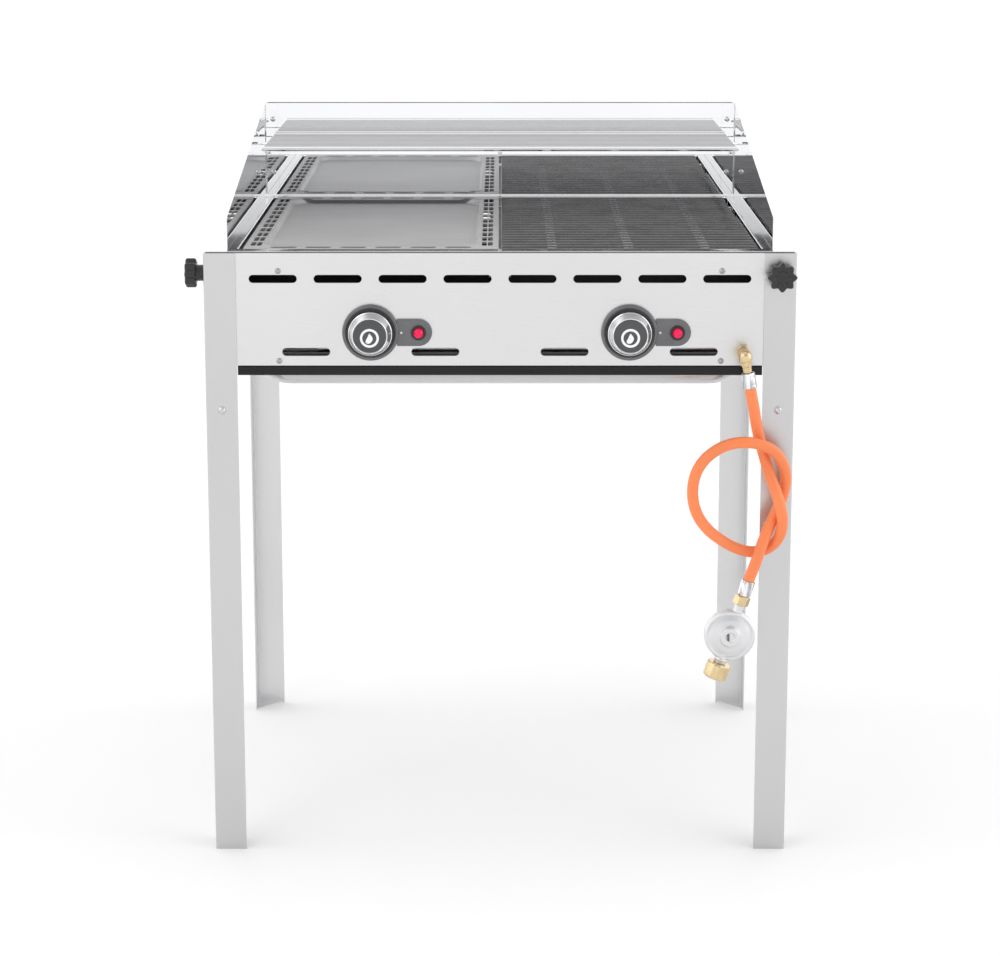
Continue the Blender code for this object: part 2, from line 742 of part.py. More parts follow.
def make_grate():
    """Cross rods welded to two side bars, over three lower bars held at their ends."""
    x0 = PLATE_INNER
    x1 = PLATE_OUTER
    base = LEDGE_Z + GAP
    rod_z = PLATE_TOP - GRATE_ROD_RADIUS
    bar_top = rod_z - 0.0006
    spans = []
    for x in (x0, x1 - 0.006):
        spans.append(((x, PLATE_FRONT, base), (x + 0.006, PLATE_REAR, bar_top)))
    lower_top = rod_z - GRATE_ROD_RADIUS - GAP
    first = PLATE_FRONT + 0.006
    last = PLATE_REAR - 0.006
    for share in (0.2, 0.5, 0.8):
        x = x0 + (x1 - x0) * share
        bar = ((x - 0.006, first - 0.002, lower_top - 0.0050), (x + 0.006, last + 0.002, lower_top))
        spans.append(bar)
    grate = part("grate", boxes(spans), "grate_steel")
    lines = []
    for index in range(GRATE_RODS):
        y = first + (last - first) * index / (GRATE_RODS - 1)
        lines.append(((x0 + 0.003, y, rod_z), (x1 - 0.003, y, rod_z)))
    join(grate, bars(lines, GRATE_ROD_RADIUS, 4))
    ends = []
    for share in (0.2, 0.5, 0.8):
        x = x0 + (x1 - x0) * share
        for y in (first, last):
            low = (x - 0.005, y - 0.0018, lower_top - 0.002)
            ends.append((low, (x + 0.005, y + 0.0018, rod_z)))
    join(grate, boxes(ends))


# ---------------------------------------------------------------- gas train

BURNER_PIPE = 0.011
BURNER_HALF = 0.095
BURNER_FRONT = BODY_FRONT + 0.150
BURNER_REAR = BODY_FRONT + 0.500
VALVE_FRONT = BODY_FRONT + 0.006
VALVE_REAR = BODY_FRONT + 0.050
INJECTOR_END = BODY_FRONT + 0.064
RAIL_TOP = CONTROL_Z - BURNER_PIPE - GAP


def make_burner(side, name):
    """Looped burner tube fed by a straight mixing tube."""
    x = side * CONTROL_X
    outline = rounded_rectangle((x - BURNER_HALF, BURNER_FRONT), (x + BURNER_HALF, BURNER_REAR),
                                0.040, 3)
    loop = pipe([(u, v, CONTROL_Z) for u, v in outline], BURNER_PIPE, cyclic=True)
    burner = part(name, loop, "stainless")
    start = Vector((x, INJECTOR_END + 0.003, CONTROL_Z))
    length = BURNER_FRONT - start.y
    profile = [(0.0, 0.0), (0.0135, 0.0), (0.0135, -0.006), (0.0105, -0.022), (0.0105, -length),
               (0.0, -length)]
    join(burner, turned(profile, start, (0, -1, 0), 16))


def make_burner_rail():
    """Cross channel that carries the burners at the back."""
    half = BODY_HALF - SHEET - GAP
    y = BURNER_REAR - 0.045
    folds = [(y - 0.010, RAIL_TOP - 0.012), (y - 0.010, RAIL_TOP), (y + 0.010, RAIL_TOP),
             (y + 0.010, RAIL_TOP - 0.012)]
    outline = section(folds, -SHEET)
    mesh = extruded(outline, lambda u, v, w: (w - half, u, v), 2 * half)
    part("burner_rail", mesh, "stainless")


def make_manifold():
    """Gas pipe behind the front panel, with the block that the elbow screws into."""
    ends = ((MANIFOLD_LEFT, MANIFOLD_Y, MANIFOLD_Z), (ELBOW.x, MANIFOLD_Y, MANIFOLD_Z))
    manifold = part("gas_manifold", bars([ends], MANIFOLD_RADIUS), "zinc")
    low = (ELBOW.x - 0.012, BODY_FRONT + 0.020, 0.6535)
    join(manifold, boxes([(low, (ELBOW.x + 0.012, BODY_FRONT + 0.042, 0.680))]))


def make_valve(side, name):
    """Brass valve on the manifold, with its injector pointing into the burner."""
    x = side * CONTROL_X
    profile = [(0.0, 0.0), (0.0085, 0.0), (0.0085, -0.008), (0.0120, -0.008), (0.0120, -0.036),
               (0.0080, -0.036), (0.0080, -0.044), (0.0, -0.044)]
    valve = part(name, turned(profile, (x, VALVE_FRONT, CONTROL_Z), (0, -1, 0), 20), "brass")
    foot = 0.009
    low = (x - foot, MANIFOLD_Y - foot, MANIFOLD_Z + MANIFOLD_RADIUS + GAP)
    join(valve, boxes([(low, (x + foot, MANIFOLD_Y + foot, CONTROL_Z))]))
    injector = (x, VALVE_REAR - 0.004, CONTROL_Z), (x, INJECTOR_END, CONTROL_Z), 0.0050, 0.0030
    join(valve, rods([injector], 12))


def make_pilot(side, name):
    """Small plate that holds the spark electrode and the flame probe."""
    x = side * CONTROL_X
    y = BURNER_FRONT - 0.017
    low = (x + 0.022, y - 0.006, CONTROL_Z - 0.013)
    pilot = part(name, boxes([(low, (x + 0.058, y + 0.004, CONTROL_Z - 0.0115))]), "zinc")
    for step, top in ((0.030, 0.018), (0.050, 0.016)):
        foot = (x + step, y, CONTROL_Z - 0.022)
        join(pilot, rods([(foot, (x + step, y, CONTROL_Z + top), 0.0032, 0.0022)], 10))


def make_elbow():
    """Brass elbow through the front panel, with a hexagon at the bend and a barrel down."""
    inlet = [((ELBOW.x, BODY_FRONT + 0.020 - GAP, ELBOW.z), ELBOW)]
    elbow = part("gas_elbow", bars(inlet, 0.0060), "brass")
    join(elbow, turned([(0.0, 0.0062), (0.0050, 0.0058), (0.0078, 0.003), (ELBOW_RADIUS, 0.0),
                        (ELBOW_RADIUS, -0.010), (0.0062, -0.0105), (0.0062, -0.0212),
                        (0.0, -0.0212)], ELBOW, -ELBOW_AIM, 18))
    back = Vector((ELBOW.x, BODY_FRONT - GAP, ELBOW.z))
    join(elbow, rods([(back, back + Vector((0, -0.008, 0)), 0.0092, 0.0092)], 6))
    end = ELBOW + ELBOW_AIM * (TOP_FERRULE + FERRULE_LENGTH - HOSE_GRIP - GAP)
    join(elbow, bars([(ELBOW, end)], 0.0045))


def ferrule(name, start, along, mouth_last):
    """Crimped sleeve around the end of the hose, open towards the hose."""
    inner = HOSE_RADIUS + 0.00035
    neck = 0.0062
    floor = 0.0015
    profile = [(0.0085, 0.0), (0.0085, -FERRULE_LENGTH), (inner, -FERRULE_LENGTH),
               (inner, -floor), (neck, -floor), (neck, 0.0)]
    direction = -along if mouth_last else along
    part(name, turned(profile, start, direction, 14), "aluminium")


def make_hose():
    top = ELBOW + ELBOW_AIM * (TOP_FERRULE + FERRULE_LENGTH)
    bottom = REGULATOR + REGULATOR_AIM * LOWER_FERRULE
    route = [top - ELBOW_AIM * HOSE_GRIP, top, top + ELBOW_AIM * 0.004]
    route += [Vector((x, FRONT - out, z)) for x, out, z in HOSE_ROUTE]
    route += [bottom - REGULATOR_AIM * 0.004, bottom, bottom + REGULATOR_AIM * HOSE_GRIP]
    points = [route[0], route[1]] + smooth_line(route[2:-2], 0.019) + [route[-2], route[-1]]
    part("gas_hose", pipe(points, HOSE_RADIUS), "hose_rubber")
    ferrule("ferrule_top", ELBOW + ELBOW_AIM * TOP_FERRULE, ELBOW_AIM, True)
    ferrule("ferrule_bottom", bottom + REGULATOR_AIM * FERRULE_LENGTH, REGULATOR_AIM, False)


def on_regulator(distance):
    return REGULATOR + REGULATOR_AIM * distance


def make_regulator():
    """Flat round regulator that faces forwards, its nut above and its hand nut below."""
    profile = [(0.0, 0.0150), (0.0120, 0.0140), (0.0150, 0.0095), (0.0230, 0.0085),
               (0.0270, 0.0115), (0.0310, 0.0080), (0.0320, 0.0030), (0.0320, -0.0060),
               (0.0260, -0.0130), (0.0120, -0.0170), (0.0, -0.0175)]
    body = part("regulator_body", turned(profile, REGULATOR, (0, -1, 0), 20), "regulator_grey")
    join(body, rods([(on_regulator(-0.041), on_regulator(-0.020), 0.0075, 0.0095)], 18))
    join(body, rods([(on_regulator(0.020), on_regulator(0.0385), 0.0105, 0.0085)], 18))
    join(body, bars([(on_regulator(0.030), on_regulator(0.0580))], 0.0055))
    nut = part("outlet_nut", rods([(on_regulator(-0.0535), on_regulator(-0.0413), 0.0100, 0.0100)],
                                  6), "brass")
    stop = LOWER_FERRULE + HOSE_GRIP + GAP
    join(nut, bars([(on_regulator(stop), on_regulator(-0.045))], 0.0055))
    wheel = rods([(on_regulator(0.0389), on_regulator(0.0590), 0.0155, 0.0155)], 12)
    hand = part("hand_nut", wheel, "brass")
    cut(hand, bars([(on_regulator(0.030), on_regulator(0.070))], 0.0060))


# ---------------------------------------------------------------- controls

BEZEL_RADIUS = 0.0355
ARM_HALF = 0.017
ARM_REACH = 0.077
BEZEL_DEPTH = 0.0062
ARM_DEPTH = 0.0043


def make_controls(side, name):
    """Bezel, igniter and its button, valve stem, knob and skirt of one burner."""
    centre = Vector((side * CONTROL_X, BODY_FRONT, CONTROL_Z))
    out = Vector((0, -1, 0))
    bezel_profile = [(0.0100, 0.0035), (0.0260, 0.0035), (0.0300, BEZEL_DEPTH),
                     (0.0340, BEZEL_DEPTH), (BEZEL_RADIUS, 0.0040), (BEZEL_RADIUS, GAP),
                     (0.0100, GAP)]
    bezel = part("bezel_" + name, turned(bezel_profile, centre, out, 28), "grey_plastic")
    root = BEZEL_RADIUS - 0.0025
    arm = arc((ARM_REACH - ARM_HALF, 0.0), ARM_HALF, -90, 90, 8)
    arm += [(root, ARM_HALF), (root, -ARM_HALF)]
    outline = [(centre.x + u, centre.z + v) for u, v in arm]
    join(bezel, extruded(outline, on_front(BODY_FRONT - ARM_DEPTH), ARM_DEPTH - GAP))
    button = centre + Vector((BUTTON_STEP, 0, 0))
    cut(bezel, bars([(button - out * 0.01, button + out * 0.02)], 0.0083))

    part("igniter_body_" + name, igniter_mesh(button, out), "black_plastic")
    cap = [(0.0, 0.0142), (0.0030, 0.0138), (0.0055, 0.0118), (0.0063, 0.0090), (0.0063, -0.0035),
           (0.0, -0.0035)]
    part("ignition_button_" + name, turned(cap, button, out, 20), "red_plastic")

    stem = [(centre - out * 0.0057, centre + out * 0.0260)]
    part("valve_stem_" + name, bars(stem, 0.0040, 16), "zinc")
    knob_profile = [(0.0, 0.0330), (0.0195, 0.0330), (0.0205, 0.0320), (0.0205, 0.0110),
                    (0.0, 0.0110)]
    knob = part("control_knob_" + name, turned(knob_profile, centre, out, 20), "knob_grey")
    cut(knob, bars([(centre, centre + out * 0.0295)], 0.0043))
    skirt = [(0.0208, 0.0300), (0.0225, 0.0300), (0.0275, 0.0130), (0.0275, 0.0105),
             (0.0208, 0.0105)]
    part("knob_skirt_" + name, turned(skirt, centre, out, 24), "chrome")


def igniter_mesh(start, out):
    """Barrel with a blind bore for the button."""
    outside = [(0.0, 0.0061), (0.0095, 0.0061), (0.0095, 0.0046), (0.0080, 0.0046),
               (0.0080, -0.0340), (0.0, -0.0340)]
    barrel = helper(turned(outside, start, out, 20))
    bore = [(start - out * 0.0080, start + out * 0.010)]
    cut(barrel, bars(bore, 0.0066, 20))
    return settled(barrel)


# ---------------------------------------------------------------- windshield and rack

SHIELD_SCREW_X = SHIELD_HALF - 0.012
SHIELD_SCREW_Z = (DECK_TOP + 0.034, DECK_TOP + 0.111)


def shield_screw_cutter(radius):
    lines = []
    for side in (-1, 1):
        for z in SHIELD_SCREW_Z:
            spot = Vector((side * SHIELD_SCREW_X, SHIELD_BACK, z))
            lines.append((spot - Vector((0, 0.01, 0)), spot + Vector((0, 0.01, 0))))
    return bars(lines, radius, 12)


def make_windshield():
    base = DECK_TOP + GAP
    half = SHIELD_HALF - SHIELD_SHEET - GAP
    low = (-half, SHIELD_BACK, base)
    back = part("windshield_back",
                boxes([(low, (half, SHIELD_BACK + SHIELD_SHEET, SHIELD_TOP))]), "polished")
    cut(back, shield_screw_cutter(0.0021))
    flange_y = SHIELD_BACK - GAP - SHIELD_SHEET
    for side, name in ((-1, "windshield_left"), (1, "windshield_right")):
        x = side * SHIELD_HALF if side < 0 else SHIELD_HALF - SHIELD_SHEET
        outline = [(SHIELD_FRONT, base), (SHIELD_BACK + SHIELD_SHEET, base),
                   (SHIELD_BACK + SHIELD_SHEET, SHIELD_TOP), (SHIELD_FRONT, SHIELD_NOSE)]
        wing = part(name, extruded(outline, on_side(x), SHIELD_SHEET), "polished")
        inner = side * (SHIELD_HALF - 0.019)
        outer = side * (SHIELD_HALF - SHIELD_SHEET / 2)
        low = (min(inner, outer), flange_y, base + 0.004)
        high = (max(inner, outer), flange_y + SHIELD_SHEET, SHIELD_TOP - 0.003)
        join(wing, boxes([(low, high)]))
        cut(wing, shield_screw_cutter(0.0024))
        for y in (RACK_REAR - RACK_DEPTH + 0.018, RACK_REAR - 0.045):
            ends = (side * (SHIELD_HALF - SHIELD_SHEET / 2), side * (SHIELD_HALF - 0.026))
            low = (min(ends), y - 0.0105, RACK_UNDER - GAP - 0.0015)
            join(wing, boxes([(low, (max(ends), y + 0.0105, RACK_UNDER - GAP))]))


def make_rack():
    """Warming rack: long wires on three cross rods."""
    rear = RACK_REAR
    front = rear - RACK_DEPTH
    under = RACK_UNDER + RACK_CROSS
    cross = [((x, front - 0.002, under), (x, rear + 0.002, under)) for x in (-0.3200, 0.0, 0.3200)]
    rack = part("warming_rack", bars(cross, RACK_CROSS, 6), "chrome")
    wires = []
    for index in range(1, RACK_WIRES - 1):
        y = front + RACK_DEPTH * index / (RACK_WIRES - 1)
        wires.append(((-RACK_HALF + 0.001, y, RACK_Z), (RACK_HALF - 0.001, y, RACK_Z)))
    join(rack, bars(wires, RACK_WIRE, 4))
    edges = [((-RACK_HALF, y, RACK_Z), (RACK_HALF, y, RACK_Z)) for y in (front, rear)]
    join(rack, bars(edges, RACK_FRAME, 6))


make_front_panel()
make_rear_panel()
make_side_panels()
make_deck_frame()
make_centre_support()
make_firebox_liner()
make_lower_strip()
make_tray_runners()
make_tray()
for leg_name in LEGS:
    make_leg(leg_name)
make_pivot_brackets()
make_pivot_screws()
make_star_knobs()
make_griddle()
make_grate()
for burner_side, burner_name in ((-1, "left"), (1, "right")):
    make_burner(burner_side, "burner_" + burner_name)
    make_valve(burner_side, "gas_valve_" + burner_name)
    make_pilot(burner_side, "pilot_" + burner_name)
    make_controls(burner_side, burner_name)
make_burner_rail()
make_manifold()
make_elbow()
make_hose()
make_regulator()
make_windshield()
make_rack()

for moving, axis_point in (
    (["drip_tray"], (0.0, BODY_REAR, TRAY_RIM_Z)),
    (["griddle_plate"], (-(PLATE_INNER + PLATE_OUTER) / 2, 0.0, LEDGE_Z)),
    (["grate"], ((PLATE_INNER + PLATE_OUTER) / 2, 0.0, LEDGE_Z)),
    (["windshield_back", "windshield_left", "windshield_right"], (0.0, SHIELD_BACK, DECK_TOP)),
    (["warming_rack"], (0.0, RACK_REAR, RACK_Z)),
    (["outlet_nut"], on_regulator(-0.0474)),
    (["hand_nut"], on_regulator(0.0490)),
):
    hang(moving, axis_point)
for knob_side, knob_name in ((-1, "left"), (1, "right")):
    knob_centre = (knob_side * CONTROL_X, BODY_FRONT, CONTROL_Z)
    hang(["valve_stem_" + knob_name], knob_centre)
    hang(["control_knob_" + knob_name, "knob_skirt_" + knob_name], knob_centre)
    hang(["ignition_button_" + knob_name],
         (knob_centre[0] + BUTTON_STEP, BODY_FRONT, CONTROL_Z))
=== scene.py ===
"""Looks of the two-burner gas barbecue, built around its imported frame."""
import math

import bmesh
import bpy
from mathutils import Matrix, Vector


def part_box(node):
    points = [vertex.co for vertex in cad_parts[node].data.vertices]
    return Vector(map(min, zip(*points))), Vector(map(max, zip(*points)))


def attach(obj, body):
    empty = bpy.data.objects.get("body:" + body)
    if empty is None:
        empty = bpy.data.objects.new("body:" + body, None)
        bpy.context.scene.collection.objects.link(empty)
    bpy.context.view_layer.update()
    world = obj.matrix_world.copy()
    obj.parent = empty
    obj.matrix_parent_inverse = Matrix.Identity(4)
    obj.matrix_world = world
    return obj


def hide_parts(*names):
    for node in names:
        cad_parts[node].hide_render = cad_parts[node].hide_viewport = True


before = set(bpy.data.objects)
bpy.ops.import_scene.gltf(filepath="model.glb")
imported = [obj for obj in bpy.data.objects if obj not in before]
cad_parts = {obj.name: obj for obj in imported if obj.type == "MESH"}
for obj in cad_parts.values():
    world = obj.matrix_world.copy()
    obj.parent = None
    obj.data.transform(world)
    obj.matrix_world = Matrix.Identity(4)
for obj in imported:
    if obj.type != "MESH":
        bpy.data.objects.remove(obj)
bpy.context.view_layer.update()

# Sizes shared with the frame, in metres. +Z is up and the controls face -Y.
LEGS = {"front_left": (-1, -1), "front_right": (1, -1), "rear_left": (-1, 1), "rear_right": (1, 1)}
FACE_KNOBS = ("front_right", "rear_left")
SIDES = (("left", -1), ("right", 1))
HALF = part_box("leg_front_right")[1].x
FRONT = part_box("leg_front_right")[0].y
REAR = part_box("leg_rear_right")[1].y
LEG_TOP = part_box("leg_front_right")[1].z
LEG_WIDTH = 0.04
LEG_SHEET = 0.0015
PIVOT_X = HALF - LEG_WIDTH / 2
PIVOT_Z = 0.5835
STAR_Z = 0.7555
BODY_LOW, BODY_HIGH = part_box("front_panel")
BODY_FRONT = BODY_LOW.y
BODY_HALF = BODY_HIGH.x
BODY_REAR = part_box("rear_panel")[1].y
PANEL_BOTTOM = BODY_LOW.z
PANEL_TOP = BODY_HIGH.z
DECK_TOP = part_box("deck_frame")[1].z
SHEET = 0.0012
STUD_HOLE = 0.0045
SMALL_SCREW = (0.0038, 0.0024)
GAP = 0.0003
SAME_POINT = 0.000002

UPPER_SLOTS = 8
LOWER_SLOTS = 4
SLOT_PITCH = 0.081
SLOT_LENGTH = 0.06
SLOT_HEIGHT = 0.01
UPPER_SLOT_Z = 0.7505
LOWER_SLOT_Z = 0.658
CONTROL_X = 2 * SLOT_PITCH
CONTROL_Z = 0.683
BUTTON_STEP = 0.06
BUTTON_HOLE = 0.0083
BEZEL_TIP = 0.077
BEZEL_ARM = 0.017
BEZEL_THICK = 0.0043
MARK_OUT = 0.0324
PANEL_SCREW_X = 0.277
PANEL_SCREW_Z = (0.6465, 0.7605)

OPENING_HALF = 0.3285
OPENING_FRONT = FRONT + 0.025
OPENING_REAR = FRONT + 0.564
LEDGE_Z = 0.768
LEDGE = 0.016
DECK_BEND = 0.0024
GRIDDLE_LOW, GRIDDLE_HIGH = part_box("griddle_plate")
GRATE_LOW, GRATE_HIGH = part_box("grate")
PLATE_TOP = GRIDDLE_HIGH.z
BURNER_HALF = 0.095
BURNER_RADIUS = 0.011
MARGIN_PITCH = 0.044
MARGIN_SLOT = 0.034
GRIDDLE_WALL = GRIDDLE_HIGH.y - 0.0276
GRATE_RODS = 23
GRATE_ROD = 0.003

SHIELD_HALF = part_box("windshield_right")[1].x
SHIELD_SHEET = 0.001
SHIELD_SKIN = 0.0002
SHIELD_BACK = FRONT + 0.577
SHIELD_FRONT = FRONT + 0.016
SHIELD_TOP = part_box("windshield_back")[1].z
SHIELD_NOSE = DECK_TOP + 0.041
SHIELD_SCREW_X = SHIELD_HALF - 0.012
SHIELD_SCREW_Z = (DECK_TOP + 0.034, DECK_TOP + 0.111)

TAB_HALF = 0.0105
RACK_Z = 0.8745
RACK_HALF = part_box("warming_rack")[1].x
RACK_DEPTH = 0.2
RACK_REAR = SHIELD_BACK - 0.012
RACK_CROSS = 0.003
RACK_WIRE = 0.002
RACK_FRAME = 0.003
RACK_WIRES = 12
TAB_TOP = RACK_Z - 2 * RACK_CROSS - RACK_WIRE + 0.0008 - GAP

ELBOW = Vector((0.3045, FRONT - 0.03, 0.659))
ELBOW_AIM = Vector((0.17, 0.0, -0.985)).normalized()
HOSE_RADIUS = 0.00725
HOSE_GRIP = 0.014
HOSE_SPACING = 0.005
FERRULE_LENGTH = 0.019
TOP_FERRULE = 0.0222
REGULATOR = Vector((0.2907, FRONT - 0.036, 0.301))
REGULATOR_AIM = Vector((-0.309, 0.0, -0.951)).normalized()
LOWER_FERRULE = -0.074


def mm(points):
    """Points in metres from points in millimetres."""
    return [tuple(round(number / 1000, 8) for number in point) for point in points]


# Hose route between its ferrules: x, distance in front of the legs, z.
HOSE_ROUTE = mm([(316.8, 28.5, 592), (322, 25, 564), (329.5, 24, 536), (337.5, 32, 509),
                 (345.5, 41, 487), (351.5, 45, 467), (354, 42, 446), (350, 36, 427), (338, 28, 412),
                 (319, 24, 406), (299, 26, 411), (280, 30, 422), (261, 34, 438), (247, 38, 459),
                 (241, 41, 484), (244, 43, 510), (256, 45, 531), (276, 46, 546), (298, 46, 552),
                 (321, 44, 550), (341, 38, 540), (354, 30, 522), (359, 25, 500), (355, 24, 477),
                 (346, 29, 456), (336, 37, 437), (328, 43, 418), (321.5, 41, 396)])

CAMERA_LENS = 93.97
CAMERA_SHIFT = -0.08
CAMERA_PLACE = (0.0, -3.5168, 1.2506)
CAMERA_DOWN = 11.44
FLOOR_TONE = 0.93
WORLD_STRENGTH = 1.96


def shown(name, data):
    """A new object in the scene."""
    made = bpy.data.objects.new(name, data)
    bpy.context.scene.collection.objects.link(made)
    return made


def make_camera():
    data = bpy.data.cameras.new("camera")
    data.lens = CAMERA_LENS
    data.shift_y = CAMERA_SHIFT
    data.clip_start = 0.05
    camera = shown("camera", data)
    camera.location = CAMERA_PLACE
    camera.rotation_euler = (math.radians(90 - CAMERA_DOWN), 0, 0)
    bpy.context.scene.camera = camera


make_camera()


# ---------------------------------------------------------------- materials

WHITE = (1.0, 1.0, 1.0)
EVEN = (1.0, 1.0, 1.0)
ALONG_X = (0.02, 1.0, 1.0)
ALONG_Y = (1.0, 0.02, 1.0)
ALONG_Z = (1.0, 1.0, 0.02)


def grey(level):
    return (level, level, level)


def shader_of(name, colour, metallic):
    """A new material with its tree and its Principled shader."""
    made = bpy.data.materials.new(name)
    made.use_nodes = True
    shader = made.node_tree.nodes["Principled BSDF"]
    shader.inputs["Base Color"].default_value = (*colour, 1.0)
    shader.inputs["Metallic"].default_value = metallic
    made.diffuse_color = (*colour, 1.0)
    return made, made.node_tree, shader


def node_of(tree, kind, values=(), **sources):
    """A new node with inputs set to values or linked to the sources they are named after."""
    made = tree.nodes.new("ShaderNode" + kind)
    for name, value in dict(values).items():
        made.inputs[name].default_value = value
    for name, source in sources.items():
        tree.links.new(source, made.inputs[name])
    return made


def noise_of(tree, scale, detail, stretch=EVEN):
    """Noise in the piece's own space; stretch squeezes the pattern along each axis."""
    place = node_of(tree, "TexCoord")
    mapping = node_of(tree, "Mapping", {"Scale": stretch}, Vector=place.outputs["Object"])
    values = {"Scale": scale, "Detail": detail, "Roughness": 0.55}
    return node_of(tree, "TexNoise", values, Vector=mapping.outputs["Vector"]).outputs["Fac"]


def axes_of(tree, space):
    """X, Y and Z of the given texture space."""
    place = node_of(tree, "TexCoord")
    return node_of(tree, "SeparateXYZ", Vector=place.outputs[space]).outputs


def spread_of(tree, value, low, high, start=0.3, stop=0.7):
    """The value from start to stop, made a number from low to high."""
    values = {"From Min": start, "From Max": stop, "To Min": low, "To Max": high}
    return node_of(tree, "MapRange", values, Value=value).outputs["Result"]


def tint_of(tree, value, first, second, start=0.35, stop=0.65):
    """A colour ramp between two colours."""
    node = node_of(tree, "ValToRGB", Fac=value)
    for end, place, colour in zip(node.color_ramp.elements, (start, stop), (first, second)):
        end.position = place
        end.color = (*colour, 1.0)
    return node.outputs["Color"]


def dimmed_by(tree, value, colour):
    """White where the value is 0, the colour where it is 1."""
    return tint_of(tree, value, WHITE, colour, 0.0, 1.0)


def scaled(colour, share):
    return tuple(min(1.0, part * share) for part in colour)


def times(tree, first, second):
    """Two numbers multiplied."""
    node = node_of(tree, "Math")
    node.operation = "MULTIPLY"
    tree.links.new(first, node.inputs[0])
    tree.links.new(second, node.inputs[1])
    return node.outputs["Value"]


def blended(tree, first, second, kind="MULTIPLY", share=1.0):
    """Two colours multiplied or mixed."""
    node = node_of(tree, "Mix", {0: share})
    node.data_type = "RGBA"
    node.blend_type = kind
    tree.links.new(first, node.inputs[6])
    tree.links.new(second, node.inputs[7])
    return node.outputs[2]


def wired(tree, shader, colour, roughness):
    tree.links.new(colour, shader.inputs["Base Color"])
    tree.links.new(roughness, shader.inputs["Roughness"])


def bump_on(tree, shader, value, strength, depth, under=None):
    """Relief from a value; under is relief that it lies on."""
    bump = node_of(tree, "Bump", {"Strength": strength, "Distance": depth}, Height=value)
    if under:
        tree.links.new(under, bump.inputs["Normal"])
    tree.links.new(bump.outputs["Normal"], shader.inputs["Normal"])
    return bump.outputs["Normal"]


def finish_of(name, colour, metallic, rough, grain, fine, relief, shade, cloud, depth=0.0001,
              gloss=0.5):
    """Fine grain in roughness and relief, with broad soft clouds in the colour."""
    made, tree, shader = shader_of(name, colour, metallic)
    shader.inputs["Specular IOR Level"].default_value = gloss
    grains = noise_of(tree, fine, 6.0, grain)
    clouds = noise_of(tree, cloud, 3.0)
    roughness = spread_of(tree, grains, *rough)
    cloudy = tint_of(tree, clouds, scaled(colour, 1 - shade), scaled(colour, 1 + shade))
    wired(tree, shader, cloudy, roughness)
    bump_on(tree, shader, grains, relief, depth)
    return made


